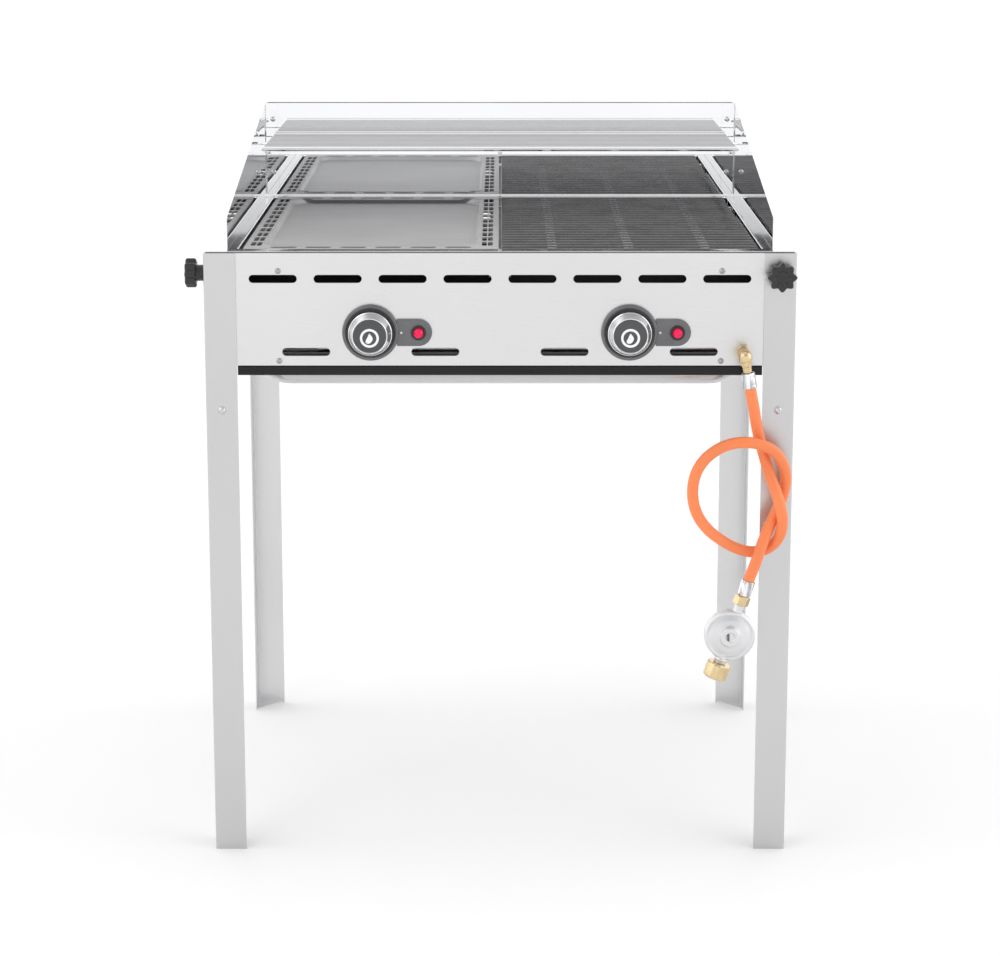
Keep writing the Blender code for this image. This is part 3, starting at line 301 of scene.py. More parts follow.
# Colour, metallic, roughness, grain, its scale and relief, shade of the clouds and their scale,
# then depth of the relief and gloss where they are not the usual ones.
FINISHES = {
    "stainless_x": (grey(0.68), 1.0, (0.26, 0.38), ALONG_X, 900.0, 0.06, 0.02, 2.5),
    "stainless_y": (grey(0.66), 1.0, (0.26, 0.38), ALONG_Y, 900.0, 0.06, 0.02, 2.5),
    "stainless_z": (grey(0.58), 1.0, (0.28, 0.4), ALONG_Z, 900.0, 0.06, 0.02, 2.5),
    # Painted light: a lighter copy of the legs' steel for the rear legs, making up for the shade they
    # stand in.
    "stainless_rear_z_painted_light": (grey(0.7), 1.0, (0.28, 0.4), ALONG_Z, 900.0, 0.06, 0.02, 2.5),
    # Dark heat-tinted steel of the burners, also used for the windshield's top edge strip, where it is
    # painted shade.
    "burner_steel_and_edge_shade": ((0.3, 0.28, 0.26), 1.0, (0.3, 0.46), ALONG_Y, 700.0, 0.1, 0.15, 12.0,
                     0.0002),
    "bright_sheet": (grey(0.7), 1.0, (0.035, 0.075), ALONG_X, 900.0, 0.012, 0.02, 2.5),
    "polished": ((0.93, 0.935, 0.94), 1.0, (0.008, 0.022), EVEN, 900.0, 0.002, 0.015, 3.0,
                 0.00001),
    "dark_strip": ((0.008, 0.008, 0.009), 0.1, (0.14, 0.24), ALONG_X, 500.0, 0.06, 0.1, 18.0,
                   0.0001, 0.3),
    "chrome": ((0.8, 0.8, 0.81), 1.0, (0.13, 0.22), EVEN, 700.0, 0.05, 0.02, 30.0),
    "rack_chrome": (grey(0.62), 1.0, (0.05, 0.11), ALONG_X, 700.0, 0.05, 0.02, 30.0),
    # Painted light: a lighter copy of the rack's chrome, for the rack's frame rods and the legs' foot
    # plates.
    "chrome_painted_light": ((0.92, 0.92, 0.93), 1.0, (0.05, 0.1), ALONG_X, 700.0, 0.05, 0.02, 30.0),
    "zinc": ((0.62, 0.63, 0.65), 1.0, (0.14, 0.26), EVEN, 900.0, 0.1, 0.06, 60.0),
    # Painted shade: a darker copy of zinc, for the front panel's screws.
    "zinc_painted_shade": ((0.42, 0.42, 0.43), 1.0, (0.12, 0.22), EVEN, 900.0, 0.1, 0.06, 60.0),
    "brass": ((0.68, 0.53, 0.31), 1.0, (0.2, 0.34), EVEN, 900.0, 0.1, 0.06, 90.0),
    "grate_steel": (grey(0.15), 1.0, (0.08, 0.16), EVEN, 800.0, 0.1, 0.12, 30.0, 0.0002),
    "black_plastic": ((0.014, 0.014, 0.015), 0.0, (0.24, 0.38), EVEN, 1600.0, 0.2, 0.15, 60.0),
    "grey_plastic": ((0.14, 0.142, 0.145), 0.35, (0.2, 0.3), EVEN, 1800.0, 0.15, 0.06, 40.0),
    "knob_grey": ((0.075, 0.077, 0.078), 0.0, (0.34, 0.46), EVEN, 1500.0, 0.12, 0.05, 60.0,
                  0.0001, 0.35),
    "red_plastic": ((0.85, 0.004, 0.085), 0.0, (0.22, 0.34), EVEN, 900.0, 0.06, 0.12, 150.0,
                    0.0001, 0.4),
    "mark_white": (grey(0.88), 0.0, (0.38, 0.5), EVEN, 1500.0, 0.1, 0.03, 60.0),
    "hose_rubber": ((0.9, 0.235, 0.075), 0.0, (0.38, 0.5), EVEN, 900.0, 0.12, 0.05, 14.0,
                    0.0002),
    "regulator_grey": ((0.7, 0.7, 0.705), 1.0, (0.34, 0.46), EVEN, 1200.0, 0.05, 0.04, 40.0),
    # Painted shade: near black, for the firebox liner and the burner ports, which lie in shade.
    "painted_shade_black": (grey(0.012), 0.0, (0.65, 0.85), EVEN, 900.0, 0.1, 0.2, 60.0),
}


def iron_finish(name):
    """Seasoned cast iron: grain, faint wiped streaks, patches, and a painted shade band on the rear
    wall of the well.
    """
    colour = grey(0.4)
    made, tree, shader = shader_of(name, colour, 0.55)
    cast = noise_of(tree, 700.0, 5.0)
    streaks = noise_of(tree, 90.0, 6.0, (0.1, 1.0, 1.0))
    patches = noise_of(tree, 6.0, 4.0)
    roughness = spread_of(tree, streaks, 0.34, 0.5)
    mixed = blended(tree, tint_of(tree, streaks, scaled(colour, 0.88), scaled(colour, 1.1)),
                    tint_of(tree, patches, scaled(colour, 0.9), scaled(colour, 1.12)), "MIX", 0.5)
    # Painted shade: a dark band along the rear wall of the well, where it lies in shade.
    depth = axes_of(tree, "Object")["Y"]
    wall = GRIDDLE_WALL
    behind = spread_of(tree, depth, 0.0, 1.0, wall - 0.005, wall - 0.0034)
    before = spread_of(tree, depth, 1.0, 0.0, wall, wall + 0.0006)
    painted_wall_shade = dimmed_by(tree, times(tree, behind, before), grey(0.24))
    wired(tree, shader, blended(tree, mixed, painted_wall_shade), roughness)
    low = bump_on(tree, shader, streaks, 0.25, 0.0004)
    bump_on(tree, shader, cast, 0.2, 0.0002, low)
    return made


def crimped_finish(name):
    """Drawn aluminium, with dark streaks along the sleeve painted into its colour as reflections."""
    made, tree, shader = shader_of(name, (0.78, 0.78, 0.8), 1.0)
    streaks = noise_of(tree, 260.0, 2.0, (1.0, 1.0, 0.04))
    grains = noise_of(tree, 1200.0, 4.0, ALONG_Z)
    # Painted reflections: the colour runs from dark to light in streaks along the sleeve.
    colour = tint_of(tree, streaks, (0.4, 0.4, 0.42), (0.86, 0.86, 0.88), 0.4, 0.58)
    wired(tree, shader, colour, spread_of(tree, grains, 0.1, 0.22))
    bump_on(tree, shader, grains, 0.08, 0.0001)
    return made


def pan_finish(name):
    """Bright pressed steel, darkened towards its rim by painted shade."""
    made, tree, shader = shader_of(name, grey(0.66), 1.0)
    grains = noise_of(tree, 800.0, 5.0, ALONG_X)
    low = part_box("drip_tray")[0].z
    # Painted shade: the steel darkens from just above the floor up to the rim.
    height = spread_of(tree, axes_of(tree, "Object")["Z"], 0.0, 1.0, low + 0.004, low + 0.026)
    colour = tint_of(tree, height, grey(0.66), grey(0.2), 0.0, 1.0)
    wired(tree, shader, colour, spread_of(tree, grains, 0.24, 0.38))
    bump_on(tree, shader, grains, 0.06, 0.0001)
    return made


SPECIAL = {"iron": iron_finish, "aluminium": crimped_finish, "pan_steel_painted_shade": pan_finish}
MADE = {}


def material(name):
    """The finish of that name, made once."""
    if name not in MADE:
        full = name + "_finish"
        MADE[name] = SPECIAL[name](full) if name in SPECIAL else finish_of(full, *FINISHES[name])
    return MADE[name]


# ---------------------------------------------------------------- shapes

def plain_mesh(bm):
    mesh = bpy.data.meshes.new("shape")
    bm.to_mesh(mesh)
    bm.free()
    return mesh


def smooth(mesh, sharp=35.0):
    """Smooth shading, except across edges sharper than an angle."""
    mesh.shade_smooth()
    mesh.set_sharp_from_angle(angle=math.radians(sharp))
    return mesh


def mesh_from(bm, sharp=35.0):
    """A closed mesh from a bmesh, which is then freed."""
    bmesh.ops.recalc_face_normals(bm, faces=bm.faces)
    return smooth(plain_mesh(bm), sharp)


def bmesh_of(mesh):
    bm = bmesh.new()
    bm.from_mesh(mesh)
    return bm


def bridged(bm, rings):
    """Faces between rings of vertices; a vertex that stands twice in a face counts once."""
    for first, second in zip(rings, rings[1:]):
        count = len(first)
        for step in range(count):
            nxt = (step + 1) % count
            corners = dict.fromkeys((first[step], first[nxt], second[nxt], second[step]))
            if len(corners) > 2:
                bm.faces.new(list(corners))


def dressed(mesh, finish):
    mesh.materials.clear()
    mesh.materials.append(material(finish))


def joined(meshes, sharp=35.0):
    """Several meshes in one."""
    bm = bmesh.new()
    for mesh in meshes:
        bm.from_mesh(mesh)
        bpy.data.meshes.remove(mesh)
    return mesh_from(bm, sharp)


def piece(name, mesh, finish, body, stands_for=()):
    """A finished piece that rides on a body and may stand for frame nodes."""
    made = shown(name, mesh)
    dressed(mesh, finish)
    flats = made.modifiers.new("flats", "WEIGHTED_NORMAL")
    flats.keep_sharp = True
    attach(made, body)
    if stands_for:
        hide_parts(*stands_for)
    return made


def aim(start, direction):
    """Matrix that puts a shape's +Z along a direction from a start point."""
    turn = Vector((0, 0, 1)).rotation_difference(Vector(direction)).to_matrix().to_4x4()
    return Matrix.Translation(Vector(start)) @ turn


def arc(centre, radius, first, last, steps):
    """Points of an arc, angles in degrees."""
    points = []
    for step in range(steps + 1):
        angle = math.radians(first + (last - first) * step / steps)
        points.append((centre[0] + radius * math.cos(angle), centre[1] + radius * math.sin(angle)))
    return points


def circle(centre, radius, steps=24):
    return arc(centre, radius, 0, 360, steps)[:-1]


def stadium(centre, length, height, steps=12):
    """Outline of a slot with round ends, lying along u."""
    radius = height / 2
    reach = length / 2 - radius
    right = arc((centre[0] + reach, centre[1]), radius, -90, 90, steps)
    left = arc((centre[0] - reach, centre[1]), radius, 90, 270, steps)
    return right + left


def rounded_rectangle(low, high, radius, steps=6):
    (u0, v0), (u1, v1) = low, high
    outline = []
    corners = (((u1, v0), -90), ((u1, v1), 0), ((u0, v1), 90), ((u0, v0), 180))
    for (u, v), first in corners:
        centre = (u - radius if u == u1 else u + radius, v - radius if v == v1 else v + radius)
        outline += arc(centre, radius, first, first + 90, steps)
    return outline


def filleted(points, radius, steps=4, closed=True):
    """A line of flat points with each corner rounded as far as its sides allow."""
    spots = [Vector(point) for point in points]
    count = len(spots)
    out = []
    for index, here in enumerate(spots):
        if not closed and index in (0, count - 1):
            out.append(tuple(here))
            continue
        before = spots[index - 1] - here
        after = spots[(index + 1) % count] - here
        if before.length < 1e-7 or after.length < 1e-7:
            continue
        bend = before.angle(after)
        if bend > math.radians(178):
            out.append(tuple(here))
            continue
        reach = min(radius / math.tan(bend / 2), before.length * 0.45, after.length * 0.45)
        first = here + before.normalized() * reach
        last = here + after.normalized() * reach
        for step in range(steps + 1):
            t = step / steps
            out.append(tuple(first.lerp(here, t).lerp(here.lerp(last, t), t)))
    return out


def section(points, thickness):
    """Closed outline of a bent sheet: the fold line and its copy one thickness to the left."""
    side = []
    for index, point in enumerate(points):
        here = Vector(point)
        before = (here - Vector(points[index - 1])).normalized() if index else None
        after = (Vector(points[index + 1]) - here).normalized() if index < len(points) - 1 else None
        before = before or after
        after = after or before
        normal = Vector((-before.y - after.y, before.x + after.x)).normalized()
        stretch = thickness / normal.dot(Vector((-after.y, after.x)))
        side.append(here + normal * stretch)
    return [tuple(point) for point in points] + [tuple(point) for point in reversed(side)]


def plate(outline, to_space, thickness, edge=0.00025, holes=()):
    """A flat plate with softened edges; to_space turns u, v, w into a place."""
    curve = bpy.data.curves.new("plate", "CURVE")
    curve.dimensions = "2D"
    curve.fill_mode = "BOTH"
    curve.extrude = thickness / 2 - edge
    curve.bevel_depth = edge
    curve.bevel_resolution = 1
    curve.offset = -edge
    for number, line in enumerate([outline, *holes]):
        area = sum(a[0] * b[1] - b[0] * a[1] for a, b in zip(line, line[1:] + line[:1]))
        wanted = area > 0 if number == 0 else area < 0
        line = line if wanted else line[::-1]
        spline = curve.splines.new("POLY")
        spline.points.add(len(line) - 1)
        for spot, point in zip(spline.points, line):
            spot.co = (point[0], point[1], 0.0, 1.0)
        spline.use_cyclic_u = True
    bm = bmesh_of(evaluated(shown("plate", curve)))
    bmesh.ops.remove_doubles(bm, verts=bm.verts, dist=SAME_POINT)
    for vert in bm.verts:
        vert.co = Vector(to_space(vert.co.x, vert.co.y, vert.co.z + thickness / 2))
    return mesh_from(bm, 50.0)


def prism(outline, to_space, length):
    """A flat outline (u, v) drawn out to a length; to_space turns u, v, w into a place."""
    bm = bmesh.new()
    face = bm.faces.new([bm.verts.new((u, v, 0.0)) for u, v in outline])
    grown = bmesh.ops.extrude_face_region(bm, geom=[face])
    far = [item for item in grown["geom"] if isinstance(item, bmesh.types.BMVert)]
    bmesh.ops.translate(bm, verts=far, vec=(0, 0, length))
    for vert in bm.verts:
        vert.co = Vector(to_space(*vert.co))
    return mesh_from(bm)


def evaluated(obj):
    """The evaluated mesh of a helper object, which is then removed."""
    seen = obj.evaluated_get(bpy.context.evaluated_depsgraph_get())
    mesh = bpy.data.meshes.new_from_object(seen)
    bpy.data.objects.remove(obj, do_unlink=True)
    return mesh


def combined(mesh, others, operation):
    """A bmesh of the mesh after a boolean with each of the others."""
    target = shown("target", mesh)
    tools = []
    for other in others:
        step = target.modifiers.new("step", "BOOLEAN")
        step.operation = operation
        step.solver = "EXACT"
        step.object = shown("tool", other)
        tools.append(step.object)
    made = evaluated(target)
    for tool in tools:
        bpy.data.objects.remove(tool, do_unlink=True)
    return bmesh_of(made)


def cut(mesh, cutters):
    """The mesh less each cutter."""
    bm = combined(mesh, cutters, "DIFFERENCE")
    bmesh.ops.remove_doubles(bm, verts=bm.verts, dist=SAME_POINT)
    return mesh_from(bm)


def turned(profile, start, direction, steps=48, sharp=35.0, shape=None):
    """A turned solid from a closed (radius, height) profile; shape(angle) scales its radius."""
    bm = bmesh.new()
    rings = []
    for radius, height in profile:
        if radius < 1e-7:
            rings.append([bm.verts.new((0, 0, height))] * steps)
            continue
        ring = []
        for step in range(steps):
            angle = 2 * math.pi * step / steps
            reach = radius * (shape(angle) if shape else 1.0)
            ring.append(bm.verts.new((reach * math.cos(angle), reach * math.sin(angle), height)))
        rings.append(ring)
    open_ends = profile[0][0] < 1e-7
    bridged(bm, rings if open_ends else rings + rings[:1])
    bmesh.ops.transform(bm, matrix=aim(start, direction), verts=bm.verts)
    return mesh_from(bm, sharp)


def tube(points, radius, sides=16, cyclic=False, end=0.0):
    """A round bar along a line of points, its ends turned in by a small chamfer."""
    spots = [Vector(point) for point in points]
    count = len(spots)
    runs = []
    for index in range(count):
        before = spots[index - 1] if index or cyclic else spots[index]
        after = spots[(index + 1) % count] if index < count - 1 or cyclic else spots[index]
        runs.append((after - before).normalized())
    side = runs[0].orthogonal().normalized()
    bm = bmesh.new()
    rings = []
    for index, (spot, run) in enumerate(zip(spots, runs)):
        side = (side - run * side.dot(run)).normalized()
        up = run.cross(side)
        rows = [(spot, radius)]
        if end and not cyclic and index == 0:
            rows = [(spot, radius - end), (spot + run * end, radius)]
        if end and not cyclic and index == count - 1:
            rows = [(spot - run * end, radius), (spot, radius - end)]
        for middle, reach in rows:
            ring = []
            for step in range(sides):
                angle = 2 * math.pi * step / sides
                away = side * math.cos(angle) + up * math.sin(angle)
                ring.append(bm.verts.new(middle + away * reach))
            rings.append(ring)
    bridged(bm, rings + rings[:1] if cyclic else rings)
    if not cyclic:
        bm.faces.new(rings[0][::-1])
        bm.faces.new(rings[-1])
    return mesh_from(bm)


def block(low, high, edge=0.0003):
    """A box with softened edges."""
    low = Vector(low)
    high = Vector(high)
    bm = bmesh.new()
    size = Matrix.Diagonal((*(high - low), 1.0))
    bmesh.ops.create_cube(bm, size=1.0, matrix=Matrix.Translation((low + high) / 2) @ size)
    bmesh.ops.bevel(bm, geom=bm.edges[:], offset=edge, segments=2, affect="EDGES", profile=0.5)
    return mesh_from(bm)


def hexagon(across, start, end, chamfer=0.0009):
    """A hexagon nut blank whose corners are turned back at both ends."""
    start = Vector(start)
    run = Vector(end) - start
    height = run.length
    corner = across / math.sqrt(3)
    outline = [(corner * math.cos(math.radians(60 * k)), corner * math.sin(math.radians(60 * k)))
               for k in range(6)]
    bm = bmesh_of(plate(outline, lambda u, v, w: (u, v, w), height, 0.0002))
    bmesh.ops.transform(bm, matrix=aim(start, run), verts=bm.verts)
    blank = mesh_from(bm, 25)
    flat = across / 2
    cone = [(0.0, height), (flat * 0.97, height), (corner * 1.02, height - chamfer * 1.6),
            (corner * 1.02, chamfer * 1.6), (flat * 0.97, 0.0), (0.0, 0.0)]
    return mesh_from(combined(blank, [turned(cone, start, run, 48)], "INTERSECT"), 25.0)


def pressed(rings, thickness, closed_floor=False):
    """A pressed sheet: equal rings of points joined in order, thickened downwards."""
    bm = bmesh.new()
    loops = [[bm.verts.new(point) for point in ring] for ring in rings]
    bridged(bm, loops)
    if closed_floor:
        bm.faces.new(loops[-1])
    bmesh.ops.recalc_face_normals(bm, faces=bm.faces)
    if sum(face.normal.z * face.calc_area() for face in bm.faces) < 0:
        bmesh.ops.reverse_faces(bm, faces=bm.faces)
    shell = shown("shell", plain_mesh(bm))
    solid = shell.modifiers.new("sheet", "SOLIDIFY")
    solid.thickness = thickness
    solid.offset = -1.0
    solid.use_even_offset = True
    return mesh_from(bmesh_of(evaluated(shell)), 40.0)


def on_front(y):
    """Outline in X and Z, growing towards +Y from y."""
    return lambda u, v, w: (u, y + w, v)


def on_side(x):
    """Outline in Y and Z, growing towards +X from x."""
    return lambda u, v, w: (x + w, u, v)


def on_plan(z):
    """Outline in X and Y, growing upwards from z."""
    return lambda u, v, w: (u, v, z + w)


def pan_screw(name, place, out, body, radius=0.0036, height=0.0022, finish="zinc", slot=None):
    """Round screw head with a cross recess."""
    dome = [(0.0, height), (radius * 0.45, height * 0.97), (radius * 0.78, height * 0.76),
            (radius * 0.95, height * 0.4), (radius, 0.0002), (radius * 0.98, 0.0), (0.0, 0.0)]
    head = turned(dome, place, out, 32, 60)
    arms = []
    for turn in (0.5, 0.5 + math.pi / 2):
        arm = block((-radius * 0.56, -radius * 0.17, height * 0.15),
                    (radius * 0.56, radius * 0.17, height * 1.5), 0.00008)
        arm.transform(aim(place, out) @ Matrix.Rotation(turn, 4, "Z"))
        arms.append(arm)
    return piece(name, cut(head, arms), finish, body)


# ---------------------------------------------------------------- hose and regulator

def smooth_line(points, step):
    """Evenly spaced points on a Catmull-Rom curve through the given ones."""
    ends = [points[0] * 2 - points[1]] + points + [points[-1] * 2 - points[-2]]
    fine = []
    for index in range(1, len(ends) - 2):
        a, b, c, d = ends[index - 1:index + 3]
        for part_of in range(16):
            t = part_of / 16
            fine.append(0.5 * (2 * b + (c - a) * t + (2 * a - 5 * b + 4 * c - d) * t * t
                               + (3 * b - a - 3 * c + d) * t ** 3))
    fine.append(points[-1])
    total = sum((second - first).length for first, second in zip(fine, fine[1:]))
    count = round(total / step)
    wanted = total / count
    spaced = [fine[0]]
    walked = 0.0
    for first, second in zip(fine, fine[1:]):
        length = (second - first).length
        while walked + length >= wanted and len(spaced) < count:
            share = (wanted - walked) / length
            first = first.lerp(second, share)
            spaced.append(first.copy())
            length = (second - first).length
            walked = 0.0
        walked += length
    spaced.append(fine[-1])
    return spaced


def on_regulator(distance):
    return REGULATOR + REGULATOR_AIM * distance


def make_ferrule(name, start, along, stands_for):
    """Crimped sleeve, its mouth at the far end from start."""
    inner = HOSE_RADIUS + 0.00035
    length = FERRULE_LENGTH
    outside = [(0.0062, 0.0), (0.0083, 0.0), (0.0087, 0.0012), (0.0087, 0.0034), (0.0082, 0.0044),
               (0.0086, 0.0054), (0.0086, length - 0.0042), (0.0082, length - 0.0032),
               (0.0087, length - 0.0022), (0.0087, length - 0.0006), (0.0083, length),
               (inner, length), (inner, 0.0015), (0.0062, 0.0015)]
    mesh = turned(outside, start, along, 48, 50, lambda angle: 1 + 0.022 * math.cos(8 * angle))
    return piece(name, mesh, "aluminium", "body", [stands_for])


def make_regulator():
    face = mm([(0, 13.8), (5.2, 13.8), (6.2, 15), (11.2, 15), (12.4, 14.2), (13, 11.2), (15, 10.2),
               (21, 8.8), (26.8, 6.4), (28.4, 7.4), (30.6, 7.4), (32, 6), (32, 1.2), (31.2, 0.4),
               (31.2, -1), (32, -1.8), (32, -6), (29, -10), (24, -13.6), (12, -17), (0, -17.5)])
    shapes = [turned([face[0], *filleted(face, 0.0008, 3, False)[1:-1], face[-1]],
                     REGULATOR, (0, -1, 0), 72, 50)]
    upper = mm([(0, 0), (6.6, 0), (7, 0.8), (7, 4), (6.4, 6), (6.6, 20), (0, 21)])
    shapes.append(turned(upper, on_regulator(-0.041), REGULATOR_AIM, 36, 45))
    lower = mm([(0, 0), (7, 0), (7.2, 10), (8.8, 12.5), (8.8, 14), (7.8, 15.2), (7.8, 18.5), (0, 18.5)])
    shapes.append(turned(lower, on_regulator(0.02), REGULATOR_AIM, 36, 45))
    shapes.append(tube([on_regulator(0.03), on_regulator(0.058)], 0.0055, 24, end=0.0008))
    body = piece("regulator_casting", joined(shapes, 50), "regulator_grey", "body", ["regulator_body"])
    slit = [(REGULATOR.x - 0.0026 + v, REGULATOR.z + u) for u, v in stadium((0, 0), 0.01, 0.0032)]
    vent = plate(slit, on_front(REGULATOR.y - 0.0143), 0.0006, 0.0001)
    vent_cap = piece("regulator_vent", vent, "grey_plastic", "body")

    stop = LOWER_FERRULE + HOSE_GRIP + GAP
    shapes = [hexagon(0.0176, on_regulator(-0.0535), on_regulator(-0.0413)),
              tube([on_regulator(stop), on_regulator(-0.045)], 0.0055, 24)]
    nut = piece("outlet_nut_brass", joined(shapes, 25), "brass", "hose_nut", ["outlet_nut"])

    wheel = mm([(6, 0), (13.8, 0), (15, 1.4), (15.2, 3), (15.2, 17.2), (14.8, 19), (13.6, 20.1),
                (11.2, 20.1), (10.2, 19), (10.2, 12), (6, 12)])
    grip = turned(wheel, on_regulator(0.0389), REGULATOR_AIM, 96, 40,
                  lambda angle: 1 + 0.022 * math.tanh(3 * math.cos(12 * angle)))
    hand = piece("hand_nut_brass", grip, "brass", "cylinder_nut", ["hand_nut"])
    return [body, vent_cap, nut, hand]


def make_hose():
    """The hose and everything on it, from the elbow's barrel to the regulator's hand nut."""
    top = ELBOW + ELBOW_AIM * (TOP_FERRULE + FERRULE_LENGTH)
    bottom = REGULATOR + REGULATOR_AIM * LOWER_FERRULE
    route = [top - ELBOW_AIM * HOSE_GRIP, top, top + ELBOW_AIM * 0.004]
    route += [Vector((x, FRONT - out, z)) for x, out, z in HOSE_ROUTE]
    route += [bottom - REGULATOR_AIM * 0.004, bottom, bottom + REGULATOR_AIM * HOSE_GRIP]
    points = smooth_line(route, HOSE_SPACING)
    curve = bpy.data.curves.new("hose", "CURVE")
    curve.dimensions = "3D"
    curve.bevel_depth = HOSE_RADIUS - 0.0001
    curve.bevel_resolution = 6
    curve.use_fill_caps = True
    line = curve.splines.new("POLY")
    line.points.add(len(points) - 1)
    for spot, point in zip(line.points, points):
        spot.co = (*point, 1.0)
    line.use_smooth = True
    hose = shown("hose", curve)
    curve.materials.append(material("hose_rubber"))
    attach(hose, "body")
    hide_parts("gas_hose")
    carried = [
        make_ferrule("ferrule_top_sleeve", ELBOW + ELBOW_AIM * TOP_FERRULE, ELBOW_AIM,
                     "ferrule_top"),
        make_ferrule("ferrule_bottom_sleeve", bottom + REGULATOR_AIM * FERRULE_LENGTH,
                     -REGULATOR_AIM, "ferrule_bottom"),
    ]
    carried += make_regulator()


make_hose()


# ---------------------------------------------------------------- body

def keep(node, finish):
    """A frame node whose shape is right gets its finish."""
    dressed(smooth(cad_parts[node].data), finish)


def slot_row(z, count, pitch):
    return [stadium(((index - (count - 1) / 2) * pitch, z), SLOT_LENGTH, SLOT_HEIGHT)
            for index in range(count)]


def sheet_panel(node, low, high, to_space, finish, holes):
    """A flat body panel in place of its frame node."""
    outline = rounded_rectangle(low, high, 0.001, 3)
    piece(node + "_sheet", plate(outline, to_space, SHEET, 0.0003, holes), finish, "body", [node])


def make_panels():
    upper = slot_row(UPPER_SLOT_Z, UPPER_SLOTS, SLOT_PITCH)
    holes = upper + slot_row(LOWER_SLOT_Z, LOWER_SLOTS, 2 * SLOT_PITCH)
    for _, side in SIDES:
        holes.append(circle((side * CONTROL_X, CONTROL_Z), 0.009))
        holes.append(circle((side * CONTROL_X + BUTTON_STEP, CONTROL_Z), BUTTON_HOLE))
    holes.append(circle((ELBOW.x, ELBOW.z), 0.007))
    holes.append(circle((PIVOT_X, STAR_Z), STUD_HOLE))
    sheet_panel("front_panel", (-BODY_HALF, PANEL_BOTTOM), (BODY_HALF, PANEL_TOP),
                on_front(BODY_FRONT), "stainless_x", holes)
    for index, (side, z) in enumerate((s, z) for s in (-1, 1) for z in PANEL_SCREW_Z):
        # The panel screws take the darker copy of zinc: painted shade on their heads.
        pan_screw(f"panel_screw_{index}", (side * PANEL_SCREW_X, BODY_FRONT, z), (0, -1, 0), "body",
                  *SMALL_SCREW, "zinc_painted_shade", slot="zinc")
    sheet_panel("rear_panel", (-BODY_HALF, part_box("rear_panel")[0].z), (BODY_HALF, PANEL_TOP),
                on_front(BODY_REAR - SHEET), "stainless_x",
                upper + [circle((-PIVOT_X, STAR_Z), STUD_HOLE)])
    for name, y in (("left", FRONT + LEG_WIDTH / 2), ("right", REAR - LEG_WIDTH / 2)):
        low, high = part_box("side_panel_" + name)
        sheet_panel("side_panel_" + name, low.yz, high.yz, on_side(low.x), "stainless_y",
                    [circle((y, STAR_Z), STUD_HOLE)])


def ring_in(low, high, inset, radius, z, steps=8):
    """Ring of points round a rectangle drawn in by an inset."""
    outline = rounded_rectangle((low[0] + inset, low[1] + inset), (high[0] - inset, high[1] - inset),
                                radius, steps)
    return [(u, v, z) for u, v in outline]


def make_deck():
    """Top sheet, turned down round the plates' opening to the ledge they rest on."""
    rings = [ring_in((-BODY_HALF, BODY_FRONT), (BODY_HALF, BODY_REAR), inset, 0.0015, DECK_TOP - drop)
             for inset, drop in ((0.0, 0.001), (0.0003, 0.0003), (0.001, 0.0))]
    levels = []
    for step in range(6):
        turn = math.radians(90 * step / 5)
        levels.append((DECK_BEND * (1 - math.sin(turn)), DECK_TOP - DECK_BEND * (1 - math.cos(turn))))
    for step in range(5):
        turn = math.radians(90 * step / 4)
        levels.append((-DECK_BEND * (1 - math.cos(turn)), LEDGE_Z + DECK_BEND * (1 - math.sin(turn))))
    opening = (-OPENING_HALF, OPENING_FRONT), (OPENING_HALF, OPENING_REAR)
    rings += [ring_in(*opening, -out, 0.008 + out, z) for out, z in levels]
    rings.append(ring_in(*opening, LEDGE, 0.0035, LEDGE_Z))
    piece("deck_sheet", pressed(rings, 0.0014), "bright_sheet", "body", ["deck_frame"])


def folded(folds, thickness, to_space, length, radius=0.002):
    """A bent sheet: its section, with rounded folds, drawn out to a length."""
    return prism(section(filleted(folds, radius, 5, False), thickness), to_space, length)


def make_strip_and_runners():
    low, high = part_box("lower_front_strip")
    folds = [(high.y, low.z), (low.y, low.z), (low.y, high.z), (low.y + 0.01, high.z)]
    length = high.x - low.x
    mesh = folded(folds, -SHEET, lambda u, v, w: (low.x + w, u, v), length)
    piece("lower_strip_sheet", mesh, "dark_strip", "body", ["lower_front_strip"])
    for name in ("tray_runner_left", "tray_runner_right"):
        keep(name, "dark_strip")


def make_tray():
    """Pressed drip pan with a flat rim and a folded grip at the back."""
    low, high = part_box("drip_tray")
    rim = high.z
    floor = low.z
    y0 = BODY_FRONT + 0.024
    y1 = BODY_REAR + 0.002
    over_rim = mm([(0, 4, -0.6), (0.6, 4, 0), (13, 20, 0), (15.2, 22, -1), (16.2, 23, -3)])
    over_floor = mm([(19, 26, 15), (20.5, 27, 9.5), (24, 28, 4.5), (29, 27, 1.4), (36, 24, 0)])
    rings = [ring_in((-high.x, y0), (high.x, y1), inset, radius, level + rise)
             for level, rows in ((rim, over_rim), (floor, over_floor))
             for inset, radius, rise in rows]
    shapes = [pressed(rings, -0.001, True)]
    folds = [(y1 - 0.004, rim - 0.0012), (y1 + 0.012, rim - 0.0012), (y1 + 0.012, rim - 0.017)]
    shapes.append(folded(folds, 0.001, lambda u, v, w: (w - 0.15, u, v), 0.3, 0.0018))
    piece("drip_pan", joined(shapes), "pan_steel_painted_shade", "tray", ["drip_tray"])


def leg_face(end):
    """Y of the outer face of the front or rear legs."""
    return FRONT if end < 0 else REAR


